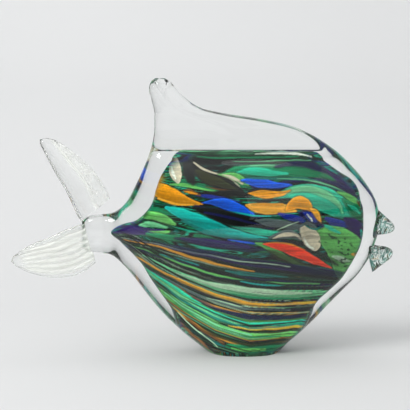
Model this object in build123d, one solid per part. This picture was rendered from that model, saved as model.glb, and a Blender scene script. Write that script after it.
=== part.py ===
"""A solid studio-glass fish ornament that stands on its ground foot.

It is built as such a fish is built at the bench. A clear gather is rolled over streams, chips and
canes of coloured glass, cased in a second clear gather and drawn up into the dorsal fin and the
tail stub. Two crimped tail lobes and two lips are hot bits set on last.

The colour is one layer, parted into streams by curves that run from the tail to the nose. The
upper streams are parted again by slanting cuts into single chips; the lower ones fan out of the
tail as canes that run right round the belly.

Frame: X from the tail to the nose, Y across the body, Z up, origin at the middle of the foot.
Each slice of the body is a full oval in a level plane. All sizes are in millimetres.
"""

from build123d import *
import math
import os

# Outer gather
BODY_HEIGHT = 129.5
BODY_LENGTH = 129.0
BODY_THICKNESS = 42.0

# Colour, all of it inside the outer gather: shares of the body's three sizes
COLOUR_FOOT = 2.0
COLOUR_HEIGHT_SHARE = 0.7066
COLOUR_LENGTH_SHARE = 0.8372
COLOUR_WIDTH_SHARE = 0.7917
COLOUR_THICKNESS = 1.6
CHIP_LEAN = 35.0

# Eye chips, under each dimple: lengths as shares of the body's length, the rest of its height
EYE_CHIP_LENGTH_SHARE = 0.070
OPAL_EYE_WIDTH_SHARE = 0.0965
OPAL_EYE_DROP_SHARE = 0.0386
COBALT_EYE_WIDTH_SHARE = 0.0579
COBALT_EYE_RISE_SHARE = 0.0232

# Eye dimples, poked into both flanks, placed by shares of the body's length and height
EYE_ALONG_SHARE = 0.2442
EYE_HEIGHT_SHARE = 0.4903
EYE_RADIUS = 5.5
EYE_DEPTH = 2.2

# Tail stub, drawn out of the outer gather at its tail end
STUB_OVERHANG = 14.4
STUB_LENGTH = 35.0
STUB_HEIGHT_SHARE = 0.4363
STUB_WIDTH = 18.5
STUB_THICKNESS = 12.0

# Tail lobes, each along a line from its root, which lies in from the stub's end
LOBE_THICKNESS = 5.4
UPPER_LOBE_INSET = 8.0
UPPER_LOBE_RISE = 8.5
UPPER_LOBE_LENGTH = 45.0
UPPER_LOBE_WIDTH = 15.5
UPPER_LOBE_ANGLE = 127.5
UPPER_LOBE_TWIST = 22.0
LOWER_LOBE_INSET = 6.5
LOWER_LOBE_DROP = 4.0
LOWER_LOBE_LENGTH = 41.0
LOWER_LOBE_WIDTH = 21.8
LOWER_LOBE_ANGLE = 193.0
LOWER_LOBE_TWIST = -8.0

# Lips, each along a line to its tip, which stands out beyond the body's nose
LIP_THICKNESS = 14.0
UPPER_LIP_OVERHANG = 7.5
UPPER_LIP_HEIGHT_SHARE = 0.4525
UPPER_LIP_LENGTH = 14.5
UPPER_LIP_WIDTH = 16.0
UPPER_LIP_ANGLE = -17.0
LOWER_LIP_OVERHANG = 10.0
LOWER_LIP_HEIGHT_SHARE = 0.3691
LOWER_LIP_LENGTH = 17.5
LOWER_LIP_WIDTH = 18.0
LOWER_LIP_ANGLE = 14.0

# Each slice of the body is a low dome on both flanks with a round rim about it
RIM_RADIUS = 8.0
DOME_POWER = 1.5
RIM_TURNS = [0, 30, 60, 90]
FLANK_SHARES = [0.75, 0.5, 0.25]
FLANK_STEP = 2

# Body slices: height, reach to the tail, reach to the nose, half thickness, as shares of
# the body's height, length, length and thickness. The foot is ground off flat at height 0.
BODY_SLICE_SHARES = [
    (-0.040, 0.076, 0.092, 0.200),
    (0.000, 0.128, 0.130, 0.275),
    (0.036, 0.174, 0.163, 0.328),
    (0.073, 0.220, 0.206, 0.370),
    (0.127, 0.278, 0.262, 0.420),
    (0.181, 0.325, 0.311, 0.454),
    (0.236, 0.367, 0.365, 0.480),
    (0.290, 0.408, 0.416, 0.496),
    (0.345, 0.451, 0.452, 0.500),
    (0.381, 0.468, 0.467, 0.500),
    (0.436, 0.474, 0.485, 0.500),
    (0.490, 0.461, 0.489, 0.494),
    (0.527, 0.434, 0.485, 0.482),
    (0.563, 0.415, 0.474, 0.461),
    (0.599, 0.398, 0.454, 0.430),
    (0.653, 0.372, 0.415, 0.356),
    (0.690, 0.356, 0.381, 0.280),
    (0.720, 0.344, 0.351, 0.190),
    (0.744, 0.336, 0.322, 0.150),
    (0.781, 0.327, 0.268, 0.130),
    (0.817, 0.322, 0.198, 0.122),
    (0.835, 0.322, 0.140, 0.120),
    (0.853, 0.322, 0.050, 0.118),
    (0.871, 0.322, -0.064, 0.116),
    (0.890, 0.325, -0.150, 0.115),
    (0.926, 0.334, -0.209, 0.112),
    (0.962, 0.341, -0.246, 0.108),
    (0.988, 0.333, -0.266, 0.083),
    (1.000, 0.318, -0.288, 0.012),
]

# Slices of the colour, foot to crown: height above its foot, reach to the tail, reach to the
# nose, half thickness, as shares of the colour's height, length, length and width.
COLOUR_SLICE_SHARES = [
    (0.000, 0.150, 0.158, 0.240),
    (0.030, 0.190, 0.180, 0.290),
    (0.075, 0.226, 0.204, 0.335),
    (0.150, 0.262, 0.246, 0.385),
    (0.216, 0.296, 0.281, 0.418),
    (0.270, 0.328, 0.310, 0.440),
    (0.316, 0.356, 0.354, 0.462),
    (0.382, 0.394, 0.414, 0.485),
    (0.448, 0.428, 0.452, 0.498),
    (0.510, 0.463, 0.481, 0.500),
    (0.562, 0.497, 0.497, 0.498),
    (0.608, 0.520, 0.504, 0.492),
    (0.664, 0.450, 0.505, 0.478),
    (0.726, 0.396, 0.496, 0.452),
    (0.768, 0.372, 0.478, 0.428),
    (0.820, 0.358, 0.454, 0.388),
    (0.862, 0.346, 0.428, 0.346),
    (0.898, 0.334, 0.392, 0.300),
    (0.934, 0.312, 0.346, 0.246),
    (0.966, 0.286, 0.300, 0.186),
    (0.990, 0.254, 0.262, 0.118),
    (1.000, 0.232, 0.240, 0.072),
]

# Sections of the lobes: place along the lobe, width, thickness and shift up the lobe's width.
UPPER_LOBE_SECTION_SHARES = [
    (0.00, 1.02, 0.95, -0.01),
    (0.12, 1.18, 1.00, 0.05),
    (0.40, 1.08, 0.86, 0.19),
    (0.65, 0.86, 0.74, 0.18),
    (0.86, 0.56, 0.60, 0.15),
    (0.96, 0.30, 0.45, 0.08),
    (1.00, 0.08, 0.20, 0.02),
]
LOWER_LOBE_SECTION_SHARES = [
    (0.00, 0.82, 0.95, 0.04),
    (0.15, 0.99, 1.00, -0.04),
    (0.32, 1.04, 0.90, -0.10),
    (0.50, 0.94, 0.80, -0.13),
    (0.68, 0.78, 0.70, -0.10),
    (0.84, 0.53, 0.58, -0.06),
    (0.95, 0.25, 0.42, -0.02),
    (1.00, 0.07, 0.18, 0.00),
]

# Sections of the lips, written as the lobes'.
LIP_SECTION_SHARES = [
    (0.00, 1.00, 1.00, 0.00),
    (0.35, 0.78, 0.86, 0.00),
    (0.65, 0.52, 0.66, 0.00),
    (0.88, 0.32, 0.44, 0.00),
    (1.00, 0.10, 0.14, 0.00),
]

# Sections of the tail stub, root first, written as the lobes'.
STUB_SECTION_SHARES = [
    (0.00, 2.40, 1.60, 0.00),
    (0.27, 1.80, 1.42, 0.00),
    (0.42, 1.36, 1.22, 0.00),
    (0.56, 1.09, 1.06, 0.00),
    (0.72, 0.97, 0.94, 0.00),
    (0.92, 0.92, 0.72, 0.00),
    (1.00, 0.70, 0.40, 0.00),
]

# Curves between the streams of colour, crown to foot: heights as shares of the body's height
# at the given shares of its length.
STREAM_PLACE_SHARES = [-0.48, -0.40, -0.32, -0.22, -0.10, 0.02, 0.14, 0.26, 0.38, 0.48]
STREAM_HEIGHT_SHARES = [
    (0.689, 0.689, 0.689, 0.686, 0.678, 0.670, 0.662, 0.644, 0.601, 0.587),
    (0.633, 0.633, 0.630, 0.614, 0.604, 0.606, 0.616, 0.615, 0.579, 0.565),
    (0.530, 0.530, 0.543, 0.548, 0.542, 0.529, 0.525, 0.514, 0.501, 0.496),
    (0.496, 0.487, 0.475, 0.458, 0.439, 0.427, 0.433, 0.439, 0.428, 0.425),
    (0.476, 0.457, 0.424, 0.394, 0.370, 0.354, 0.339, 0.317, 0.292, 0.286),
    (0.466, 0.444, 0.404, 0.367, 0.332, 0.305, 0.285, 0.271, 0.264, 0.264),
    (0.456, 0.427, 0.375, 0.329, 0.289, 0.266, 0.252, 0.243, 0.239, 0.239),
    (0.446, 0.407, 0.345, 0.294, 0.253, 0.222, 0.210, 0.207, 0.209, 0.210),
    (0.436, 0.390, 0.326, 0.269, 0.226, 0.193, 0.184, 0.181, 0.184, 0.184),
    (0.423, 0.376, 0.309, 0.246, 0.198, 0.165, 0.158, 0.155, 0.158, 0.159),
    (0.403, 0.357, 0.286, 0.215, 0.159, 0.118, 0.123, 0.130, 0.133, 0.133),
    (0.374, 0.332, 0.263, 0.188, 0.129, 0.093, 0.096, 0.102, 0.107, 0.107),
    (0.323, 0.288, 0.231, 0.162, 0.097, 0.059, 0.066, 0.070, 0.074, 0.075),
]

# Chips of the upper streams, crown first, tail to nose: name and where it begins, as a share
# of the body's length. Every stream ends beyond the nose.
NEAR_CHIP_START_SHARES = [
    {"opal_chip_crown": -0.60, "black_streak_crown": -0.20, "emerald_streak_crown": 0.065},
    {
        "green_chip_brow": -0.60,
        "black_chip_brow": -0.19,
        "lime_chip_brow": -0.045,
        "cobalt_chip_brow": 0.02,
        "emerald_streak_brow": 0.145,
        "amethyst_chip_brow": 0.315,
    },
    {
        "orange_chip_tail": -0.60,
        "cobalt_chip_flank": -0.165,
        "orange_chip_flank": -0.015,
        "amber_chip_eye": 0.155,
        "jade_streak_brow": 0.235,
    },
    {
        "lime_chip_tail": -0.60,
        "aqua_cane_flank": -0.27,
        "slate_chip_flank": 0.065,
        "blue_chip_cheek": 0.20,
        "amethyst_chip_cheek": 0.355,
    },
    {
        "amethyst_cane_tail": -0.60,
        "green_cane_flank": -0.33,
        "amethyst_cane_flank": -0.155,
        "red_chip_cheek": 0.05,
        "lime_chip_cheek": 0.315,
    },
]
STREAM_END_SHARE = 0.60
FAR_CHIP_START_SHARES = [
    {"far_jade_streak_crown": -0.60, "far_emerald_streak_crown": 0.04},
    {"far_amethyst_chip_brow": -0.60, "far_aqua_streak_brow": -0.05},
    {"far_cobalt_chip_flank": -0.60, "far_orange_chip_flank": 0.00},
    {"far_orange_chip_tail": -0.60, "far_jade_cane_flank": -0.10},
    {"far_aqua_cane_tail": -0.60, "far_lime_chip_cheek": 0.12},
]
CANE_NAMES = [
    "silver_canes_belly",
    "amethyst_canes_belly",
    "mint_canes_belly",
    "amber_canes_belly",
    "black_canes_belly",
    "amber_canes_foot",
    "jade_canes_foot",
    "lime_canes_foot",
    "green_canes_foot",
]


def curve_value(rows, place, column):
    """The table's column at a place in its first column, on a smooth curve through the rows."""
    last = len(rows) - 1
    i = max(k for k in range(last) if rows[k][0] <= place or k == 0)
    before, low, high, after = (rows[min(max(k, 0), last)] for k in (i - 1, i, i + 1, i + 2))
    span = high[0] - low[0]
    t = (place - low[0]) / span

    def slope(a, b):
        return (b[column] - a[column]) / (b[0] - a[0]) * span

    rise, fall = slope(before, high), slope(low, after)
    p, q = low[column], high[column]
    return (
        (2 * t**3 - 3 * t**2 + 1) * p
        + (t**3 - 2 * t**2 + t) * rise
        + (3 * t**2 - 2 * t**3) * q
        + (t**3 - t**2) * fall
    )


def slice_face(height, tail, nose, half_thickness):
    """A level ellipse from X = -tail to X = nose."""
    middle, reach = (nose - tail) / 2, (nose + tail) / 2
    return Plane(origin=(middle, 0, height)) * Ellipse(reach, half_thickness)


def dome(out_share, rise):
    """How far the dome stands over the rim, at a share of the way out to the slice's end."""
    return rise * max(0.0, 1 - out_share**2) ** DOME_POWER


def slice_corner(reach, half_thickness):
    """A quarter of a slice, from its end round the rim and along the flank to its middle."""
    rim = min(RIM_RADIUS, half_thickness, reach / 2)
    flat = reach - rim
    turns = [math.radians(turn) for turn in RIM_TURNS]
    places = [(flat + rim * math.cos(turn), rim * math.sin(turn)) for turn in turns]
    places += [(share * flat, rim) for share in (*FLANK_SHARES, 0)]
    rise = half_thickness - rim
    return [(along, across + dome(along / reach, rise)) for along, across in places]


def full_slice(height, tail, nose, half_thickness):
    """A level slice of the body from X = -tail to X = nose."""
    middle, reach = (nose - tail) / 2, (nose + tail) / 2
    there = slice_corner(reach, half_thickness)
    back = there[-2::-1]
    loop = there + [(-x, y) for x, y in back] + [(-x, -y) for x, y in there[1:]]
    loop += [(x, -y) for x, y in back[:-1]]
    steps = [1] * (len(RIM_TURNS) - 1) + [FLANK_STEP] * (len(FLANK_SHARES) + 1)
    steps = (steps + steps[::-1]) * 2
    shares = [sum(steps[:k]) for k in range(len(steps) + 1)]
    points = [Vector(middle + x, y, height) for x, y in loop]
    return make_face(Edge.make_spline(points, periodic=True, parameters=shares))


def outer_gather():
    """The body with its dorsal fin, ground flat at its foot."""
    faces = []
    for height, tail, nose, half in BODY_SLICE_SHARES:
        slim = half * BODY_THICKNESS
        faces.append(
            full_slice(height * BODY_HEIGHT, tail * BODY_LENGTH, nose * BODY_LENGTH, slim)
        )
    return split(loft(faces), Plane.XY, keep=Keep.TOP)


def colour_body(depth):
    """The solid whose surface lies this deep under the colour's outer surface."""
    foot, height = COLOUR_FOOT + depth, COLOUR_HEIGHT_SHARE * BODY_HEIGHT - 2 * depth
    length, width = COLOUR_LENGTH_SHARE * BODY_LENGTH, COLOUR_WIDTH_SHARE * BODY_THICKNESS
    faces = []
    for share, tail, nose, half in COLOUR_SLICE_SHARES:
        tail_reach, nose_reach = tail * length - depth, nose * length - depth
        faces.append(
            slice_face(foot + share * height, tail_reach, nose_reach, half * width - depth)
        )
    return loft(faces)


def blade(rows, root, angle, length, width, thickness, twist=0.0):
    """A blade along a line in the XZ plane: one elliptical section for each row."""
    along = Vector(math.cos(math.radians(angle)), 0, math.sin(math.radians(angle)))
    across = Vector(along.Z, 0, -along.X)
    faces = []
    for place, width_share, thickness_share, shift in rows:
        middle = root + along * (place * length) + across * (shift * width)
        plane = Plane(origin=middle, x_dir=across, z_dir=along)
        wide, thick = width * width_share / 2, thickness * thickness_share / 2
        faces.append(plane * Rot(0, 0, twist) * Ellipse(wide, thick))
    return loft(faces)


def body_reach(height_share, column):
    """How far the body reaches at a height: column 1 to the tail, 2 to the nose."""
    return curve_value(BODY_SLICE_SHARES, height_share, column) * BODY_LENGTH


def stub_end():
    """Where the tail stub ends."""
    reach = body_reach(STUB_HEIGHT_SHARE, 1) + STUB_OVERHANG
    return Vector(-reach, 0, STUB_HEIGHT_SHARE * BODY_HEIGHT)


def tail_stub():
    """The neck between the body and the lobes."""
    root = stub_end() + Vector(STUB_LENGTH, 0, 0)
    return blade(STUB_SECTION_SHARES, root, 180, STUB_LENGTH, STUB_WIDTH, STUB_THICKNESS)


def upper_lobe():
    """The lobe of the tail that stands up."""
    root = stub_end() + Vector(UPPER_LOBE_INSET, 0, UPPER_LOBE_RISE)
    rows, angle, twist = UPPER_LOBE_SECTION_SHARES, UPPER_LOBE_ANGLE, UPPER_LOBE_TWIST
    return blade(rows, root, angle, UPPER_LOBE_LENGTH, UPPER_LOBE_WIDTH, LOBE_THICKNESS, twist)


def lower_lobe():
    """The lobe of the tail that lies back."""
    root = stub_end() + Vector(LOWER_LOBE_INSET, 0, -LOWER_LOBE_DROP)
    rows, angle, twist = LOWER_LOBE_SECTION_SHARES, LOWER_LOBE_ANGLE, LOWER_LOBE_TWIST
    return blade(rows, root, angle, LOWER_LOBE_LENGTH, LOWER_LOBE_WIDTH, LOBE_THICKNESS, twist)


def lip(height_share, overhang, angle, length, width):
    """A lip whose tip stands out from the nose by the overhang, at a share of the height."""
    along = Vector(math.cos(math.radians(angle)), 0, math.sin(math.radians(angle)))
    tip = Vector(body_reach(height_share, 2) + overhang, 0, height_share * BODY_HEIGHT)
    root = tip - along * length
    return blade(LIP_SECTION_SHARES, root, angle, length, width, LIP_THICKNESS)


def half_thickness(height_share, along_share):
    """Half the body's thickness at shares of its height and length."""
    tail, nose, half = (curve_value(BODY_SLICE_SHARES, height_share, c) for c in (1, 2, 3))
    middle, reach = (nose - tail) / 2, (nose + tail) / 2
    rise = half * BODY_THICKNESS - RIM_RADIUS
    return RIM_RADIUS + dome(abs(along_share - middle) / reach, rise)


def eye_dimple(side):
    """The ball that leaves a dimple in the flank on one side, -1 near and 1 far."""
    middle = half_thickness(EYE_HEIGHT_SHARE, EYE_ALONG_SHARE) + EYE_RADIUS - EYE_DEPTH
    along, height = EYE_ALONG_SHARE * BODY_LENGTH, EYE_HEIGHT_SHARE * BODY_HEIGHT
    return Pos(along, side * middle, height) * Sphere(EYE_RADIUS)


def both_ways(face):
    """A solid right through the body, across it, from a face in the XZ plane."""
    return extrude(face, amount=BODY_THICKNESS, dir=(0, 1, 0), both=True)


def stream_curve(heights):
    """The curve between two streams, tail to nose, level beyond its first and last places."""
    points = [Vector(x * BODY_LENGTH, 0, z * BODY_HEIGHT) for x, z in zip(STREAM_PLACE_SHARES, heights)]
    tail = Vector(-BODY_LENGTH, 0, points[0].Z)
    nose = Vector(BODY_LENGTH, 0, points[-1].Z)
    return [Line(tail, points[0]), Spline(*points), Line(points[-1], nose)]


def stream_prisms():
    """One solid for each stream, crown first, all of them together taking in the whole body."""
    sky = [Line((-BODY_LENGTH, 0, BODY_HEIGHT), (BODY_LENGTH, 0, BODY_HEIGHT))]
    ground = [Line((-BODY_LENGTH, 0, -BODY_HEIGHT), (BODY_LENGTH, 0, -BODY_HEIGHT))]
    curves = [sky, *(stream_curve(heights) for heights in STREAM_HEIGHT_SHARES), ground]
    prisms = []
    for upper, lower in zip(curves, curves[1:]):
        at_nose = Line(upper[-1] @ 1, lower[-1] @ 1)
        at_tail = Line(lower[0] @ 0, upper[0] @ 0)
        prisms.append(both_ways(make_face([*upper, at_nose, *lower, at_tail])))
    return prisms


def stream_middle(above, below, share):
    """The place half way between two curves, at a share of the body's length."""
    upper, lower = (list(zip(STREAM_PLACE_SHARES, heights)) for heights in (above, below))
    height = (curve_value(upper, share, 1) + curve_value(lower, share, 1)) / 2
    return Vector(share * BODY_LENGTH, 0, height * BODY_HEIGHT)


def chip_prisms(starts, above, below, side):
    """One solid for each chip of a stream on one side, between slanting cuts."""
    lean = math.radians(CHIP_LEAN)
    reach = Vector(math.cos(lean), 0, -math.sin(lean)) * BODY_HEIGHT
    cuts = [stream_middle(above, below, share) for share in (*starts.values(), STREAM_END_SHARE)]
    prisms = {}
    for name, left, right in zip(starts, cuts, cuts[1:]):
        corners = (left - reach, left + reach, right + reach, right - reach)
        face = make_face(Polyline(*corners, close=True))
        prisms[name] = extrude(face, amount=BODY_THICKNESS, dir=(0, side, 0))
    return prisms


def eye_chips(side):
    """The opal and the cobalt chip under the eye dimple on one side, right through that flank."""
    chips = []
    long = EYE_CHIP_LENGTH_SHARE / 2 * BODY_LENGTH
    opal = (OPAL_EYE_WIDTH_SHARE, -OPAL_EYE_DROP_SHARE)
    cobalt = (COBALT_EYE_WIDTH_SHARE, COBALT_EYE_RISE_SHARE)
    for width, rise in (opal, cobalt):
        middle = Vector(EYE_ALONG_SHARE * BODY_LENGTH, 0, (EYE_HEIGHT_SHARE + rise) * BODY_HEIGHT)
        place = Plane(origin=middle, x_dir=(1, 0, 0), z_dir=(0, side, 0))
        chip = place * Ellipse(long, width / 2 * BODY_HEIGHT)
        chips.append(extrude(chip, amount=BODY_THICKNESS))
    return chips


def colour_pieces(shell):
    """Parts the colour into its streams, and the upper ones into chips on both flanks."""
    streams = [shell & prism for prism in stream_prisms()]
    crown = COLOUR_FOOT / BODY_HEIGHT + COLOUR_HEIGHT_SHARE
    curves = [[crown] * len(STREAM_PLACE_SHARES), *STREAM_HEIGHT_SHARES]
    pieces = {}
    for side, flank, table in ((-1, "", NEAR_CHIP_START_SHARES), (1, "far_", FAR_CHIP_START_SHARES)):
        eyes = eye_chips(side)
        opal, cobalt = shell & eyes[0], (shell & eyes[1]) - eyes[0]
        pieces[flank + "opal_chip_eye"], pieces[flank + "cobalt_chip_eye"] = opal, cobalt
        eye_boxes = [opal.bounding_box(), cobalt.bounding_box()]
        for stream, starts, above, below in zip(streams, table, curves, curves[1:]):
            for name, prism in chip_prisms(starts, above, below, side).items():
                chip = stream & prism
                near_eye = any(chip.bounding_box().overlaps(box) for box in eye_boxes)
                pieces[name] = chip - eyes if near_eye else chip
    pieces.update(zip(CANE_NAMES, streams[len(NEAR_CHIP_START_SHARES):]))
    return pieces


def tail_and_lips(clear):
    """The four bits set on to the outer gather, each fitted to what is there before it."""
    upper = upper_lobe() - clear
    lower = lower_lobe() - clear - upper
    place = (UPPER_LIP_HEIGHT_SHARE, UPPER_LIP_OVERHANG, UPPER_LIP_ANGLE)
    lip_upper = lip(*place, UPPER_LIP_LENGTH, UPPER_LIP_WIDTH) - clear
    place = (LOWER_LIP_HEIGHT_SHARE, LOWER_LIP_OVERHANG, LOWER_LIP_ANGLE)
    lip_lower = lip(*place, LOWER_LIP_LENGTH, LOWER_LIP_WIDTH) - clear - lip_upper
    return {
        "tail_lobe_upper": upper,
        "tail_lobe_lower": lower,
        "lip_upper": lip_upper,
        "lip_lower": lip_lower,
    }


def main():
    os.makedirs("parts", exist_ok=True)
    colour, gather = colour_body(0.0), colour_body(COLOUR_THICKNESS)
    clear = outer_gather() + tail_stub()
    nodes = tail_and_lips(clear)
    nodes["clear_casing"] = clear - colour - eye_dimple(-1) - eye_dimple(1)
    nodes["core_gather"] = gather
    nodes.update(colour_pieces(colour - gather))
    for name, shape in nodes.items():
        export_step(shape, f"parts/{name}.step")
        print(name, [round(solid.volume, 1) for solid in shape.solids()], shape.is_valid)


main()
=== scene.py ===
"""Looks of the studio-glass fish: clear outer skin, painted colour layer, crimped tail and lips.

Shapes are worked out in millimetres and stored in metres. Places on the near flank are given in
the picture's own pixels, as (right, down); flank_place says at which pixel a place is seen.
"""

import math

import bpy
import numpy as np
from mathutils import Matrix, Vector


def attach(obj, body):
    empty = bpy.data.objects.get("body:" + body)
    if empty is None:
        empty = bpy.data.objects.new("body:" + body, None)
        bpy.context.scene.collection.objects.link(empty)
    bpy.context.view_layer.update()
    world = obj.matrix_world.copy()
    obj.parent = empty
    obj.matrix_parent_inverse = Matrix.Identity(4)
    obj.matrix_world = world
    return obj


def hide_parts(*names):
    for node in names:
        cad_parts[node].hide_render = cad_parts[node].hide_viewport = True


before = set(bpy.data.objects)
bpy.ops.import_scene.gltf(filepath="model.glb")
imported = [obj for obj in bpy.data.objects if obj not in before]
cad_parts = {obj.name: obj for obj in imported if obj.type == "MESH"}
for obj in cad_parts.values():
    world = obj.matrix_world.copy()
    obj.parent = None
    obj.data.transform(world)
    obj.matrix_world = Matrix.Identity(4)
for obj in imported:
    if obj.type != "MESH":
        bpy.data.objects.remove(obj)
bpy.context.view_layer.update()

MM = 0.001

# The picture's scale, and where it has the fish's origin
PIXEL = 0.466
PIXEL_HEIGHT = 0.473
PICTURE_ORIGIN = (244.0, 353.0)
PICTURE_SIDE = 410.0

# The outer gather: height, reach to the tail, reach to the nose, half thickness
BODY_HEIGHT, BODY_LENGTH, BODY_THICKNESS = 129.5, 129.0, 42.0
BODY_SLICES = np.array([
    (-0.040, 0.076, 0.092, 0.200),
    (0.000, 0.128, 0.130, 0.275),
    (0.036, 0.174, 0.163, 0.328),
    (0.073, 0.220, 0.206, 0.370),
    (0.127, 0.278, 0.262, 0.420),
    (0.181, 0.325, 0.311, 0.454),
    (0.236, 0.367, 0.365, 0.480),
    (0.290, 0.408, 0.416, 0.496),
    (0.345, 0.451, 0.452, 0.500),
    (0.381, 0.468, 0.467, 0.500),
    (0.436, 0.474, 0.485, 0.500),
    (0.490, 0.461, 0.489, 0.494),
    (0.527, 0.434, 0.485, 0.482),
    (0.563, 0.415, 0.474, 0.461),
    (0.599, 0.398, 0.454, 0.430),
    (0.653, 0.372, 0.415, 0.356),
    (0.690, 0.356, 0.381, 0.280),
    (0.720, 0.344, 0.351, 0.190),
    (0.744, 0.336, 0.322, 0.150),
    (0.781, 0.327, 0.268, 0.130),
    (0.817, 0.322, 0.198, 0.122),
    (0.835, 0.322, 0.140, 0.120),
    (0.853, 0.322, 0.050, 0.118),
    (0.871, 0.322, -0.064, 0.116),
    (0.890, 0.325, -0.150, 0.115),
    (0.926, 0.334, -0.209, 0.112),
    (0.962, 0.341, -0.246, 0.108),
    (0.988, 0.333, -0.266, 0.083),
    (1.000, 0.318, -0.288, 0.012),
]) * [BODY_HEIGHT, BODY_LENGTH, BODY_LENGTH, BODY_THICKNESS]

# Each slice has a rim of this radius round a low dome
RIM_RADIUS, DOME_POWER = 8.0, 1.5
FOOT_BEVEL = 0.6
SKIN_COLUMNS = 420

# The colour layer, in the same way. It reaches a little further down to the foot by a skirt, and
# up at the crown by a ragged edge.
COLOUR_FOOT, COLOUR_HEIGHT, COLOUR_LENGTH, COLOUR_WIDTH = 2.0, 91.5, 108.0, 33.25
COLOUR_COLUMNS, COLOUR_ROWS = 680, 360
FOOT_SKIRT = 1.2
CROWN_RISE, CROWN_RAGGED = 1.6, 0.9
COLOUR_SLICES = np.array([
    (0.000, 0.150, 0.158, 0.240),
    (0.030, 0.190, 0.180, 0.290),
    (0.075, 0.226, 0.204, 0.335),
    (0.150, 0.262, 0.246, 0.385),
    (0.216, 0.296, 0.281, 0.418),
    (0.270, 0.328, 0.310, 0.440),
    (0.316, 0.356, 0.354, 0.462),
    (0.382, 0.394, 0.414, 0.485),
    (0.448, 0.428, 0.452, 0.498),
    (0.510, 0.478, 0.481, 0.500),
    (0.562, 0.522, 0.497, 0.498),
    (0.608, 0.566, 0.504, 0.492),
    (0.664, 0.454, 0.505, 0.478),
    (0.726, 0.400, 0.502, 0.452),
    (0.768, 0.382, 0.490, 0.428),
    (0.820, 0.372, 0.474, 0.388),
    (0.862, 0.362, 0.450, 0.346),
    (0.898, 0.350, 0.416, 0.300),
    (0.934, 0.332, 0.378, 0.246),
    (0.966, 0.312, 0.342, 0.186),
    (0.990, 0.290, 0.314, 0.124),
    (1.000, 0.272, 0.292, 0.080),
]) * [COLOUR_HEIGHT, COLOUR_LENGTH, COLOUR_LENGTH, COLOUR_WIDTH] + [COLOUR_FOOT, 0, 0, 0]

# The tail stub: place along it, height, thickness. It blends into the body.
STUB_LENGTH, STUB_REACH, STUB_HEIGHT = 35.0, 75.5, 56.5
STUB_WIDTH, STUB_THICKNESS = 18.5, 12.0
STUB_SQUARENESS, STUB_BLEND = 2.6, 5.0
STUB_SECTIONS = np.array([
    (0.00, 2.40, 1.60),
    (0.27, 1.80, 1.42),
    (0.42, 1.36, 1.22),
    (0.56, 1.09, 1.06),
    (0.72, 0.97, 0.94),
    (0.92, 0.92, 0.72),
    (1.00, 0.70, 0.40),
])

# The eye dimples, as (x, z)
EYE = (31.5, 63.5)
EYE_RADIUS, EYE_DEPTH, EYE_BLEND = 5.5, 2.2, 0.8

# The jacks' mark on the fin's tip, as (x, z)
FIN_MARK = np.array([(-41.0, 126.5), (-37.5, 121.5), (-36.5, 125.0)])
MARK_DEPTH, MARK_WIDTH = 0.6, 0.7

# Tail lobes and lips: root or tip as (x, z), angle, length, width and twist, and sections with
# place along, width, thickness, shift
LOBE_THICKNESS, LIP_THICKNESS = 5.4, 14.0
UPPER_LOBE_ROOT, LOWER_LOBE_ROOT = (8.0 - STUB_REACH, STUB_HEIGHT + 8.5), (6.5 - STUB_REACH, STUB_HEIGHT - 4.0)
UPPER_LOBE_ANGLE, UPPER_LOBE_LENGTH, UPPER_LOBE_WIDTH, UPPER_LOBE_TWIST = 127.5, 45.0, 15.5, 22.0
LOWER_LOBE_ANGLE, LOWER_LOBE_LENGTH, LOWER_LOBE_WIDTH, LOWER_LOBE_TWIST = 193.0, 41.0, 21.8, -8.0
UPPER_LIP_TIP, UPPER_LIP_ANGLE, UPPER_LIP_LENGTH, UPPER_LIP_WIDTH = (70.3, 58.6), -17.0, 14.5, 16.0
LOWER_LIP_TIP, LOWER_LIP_ANGLE, LOWER_LIP_LENGTH, LOWER_LIP_WIDTH = (69.7, 47.8), 14.0, 17.5, 18.0
UPPER_LOBE_SECTIONS = np.array([
    (0.00, 1.02, 0.95, -0.01),
    (0.12, 1.18, 1.00, 0.05),
    (0.40, 1.08, 0.86, 0.19),
    (0.65, 0.86, 0.74, 0.18),
    (0.86, 0.56, 0.60, 0.15),
    (0.96, 0.30, 0.45, 0.08),
    (1.00, 0.08, 0.20, 0.02),
])
LOWER_LOBE_SECTIONS = np.array([
    (0.00, 0.82, 0.95, 0.04),
    (0.15, 0.99, 1.00, -0.04),
    (0.32, 1.04, 0.90, -0.10),
    (0.50, 0.94, 0.80, -0.13),
    (0.68, 0.78, 0.70, -0.10),
    (0.84, 0.53, 0.58, -0.06),
    (0.95, 0.25, 0.42, -0.02),
    (1.00, 0.07, 0.18, 0.00),
])
LIP_SECTIONS = np.array([
    (0.00, 1.00, 1.00, 0.0),
    (0.35, 0.78, 0.86, 0.0),
    (0.65, 0.52, 0.66, 0.0),
    (0.88, 0.32, 0.44, 0.0),
    (1.00, 0.10, 0.14, 0.0),
])

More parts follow.
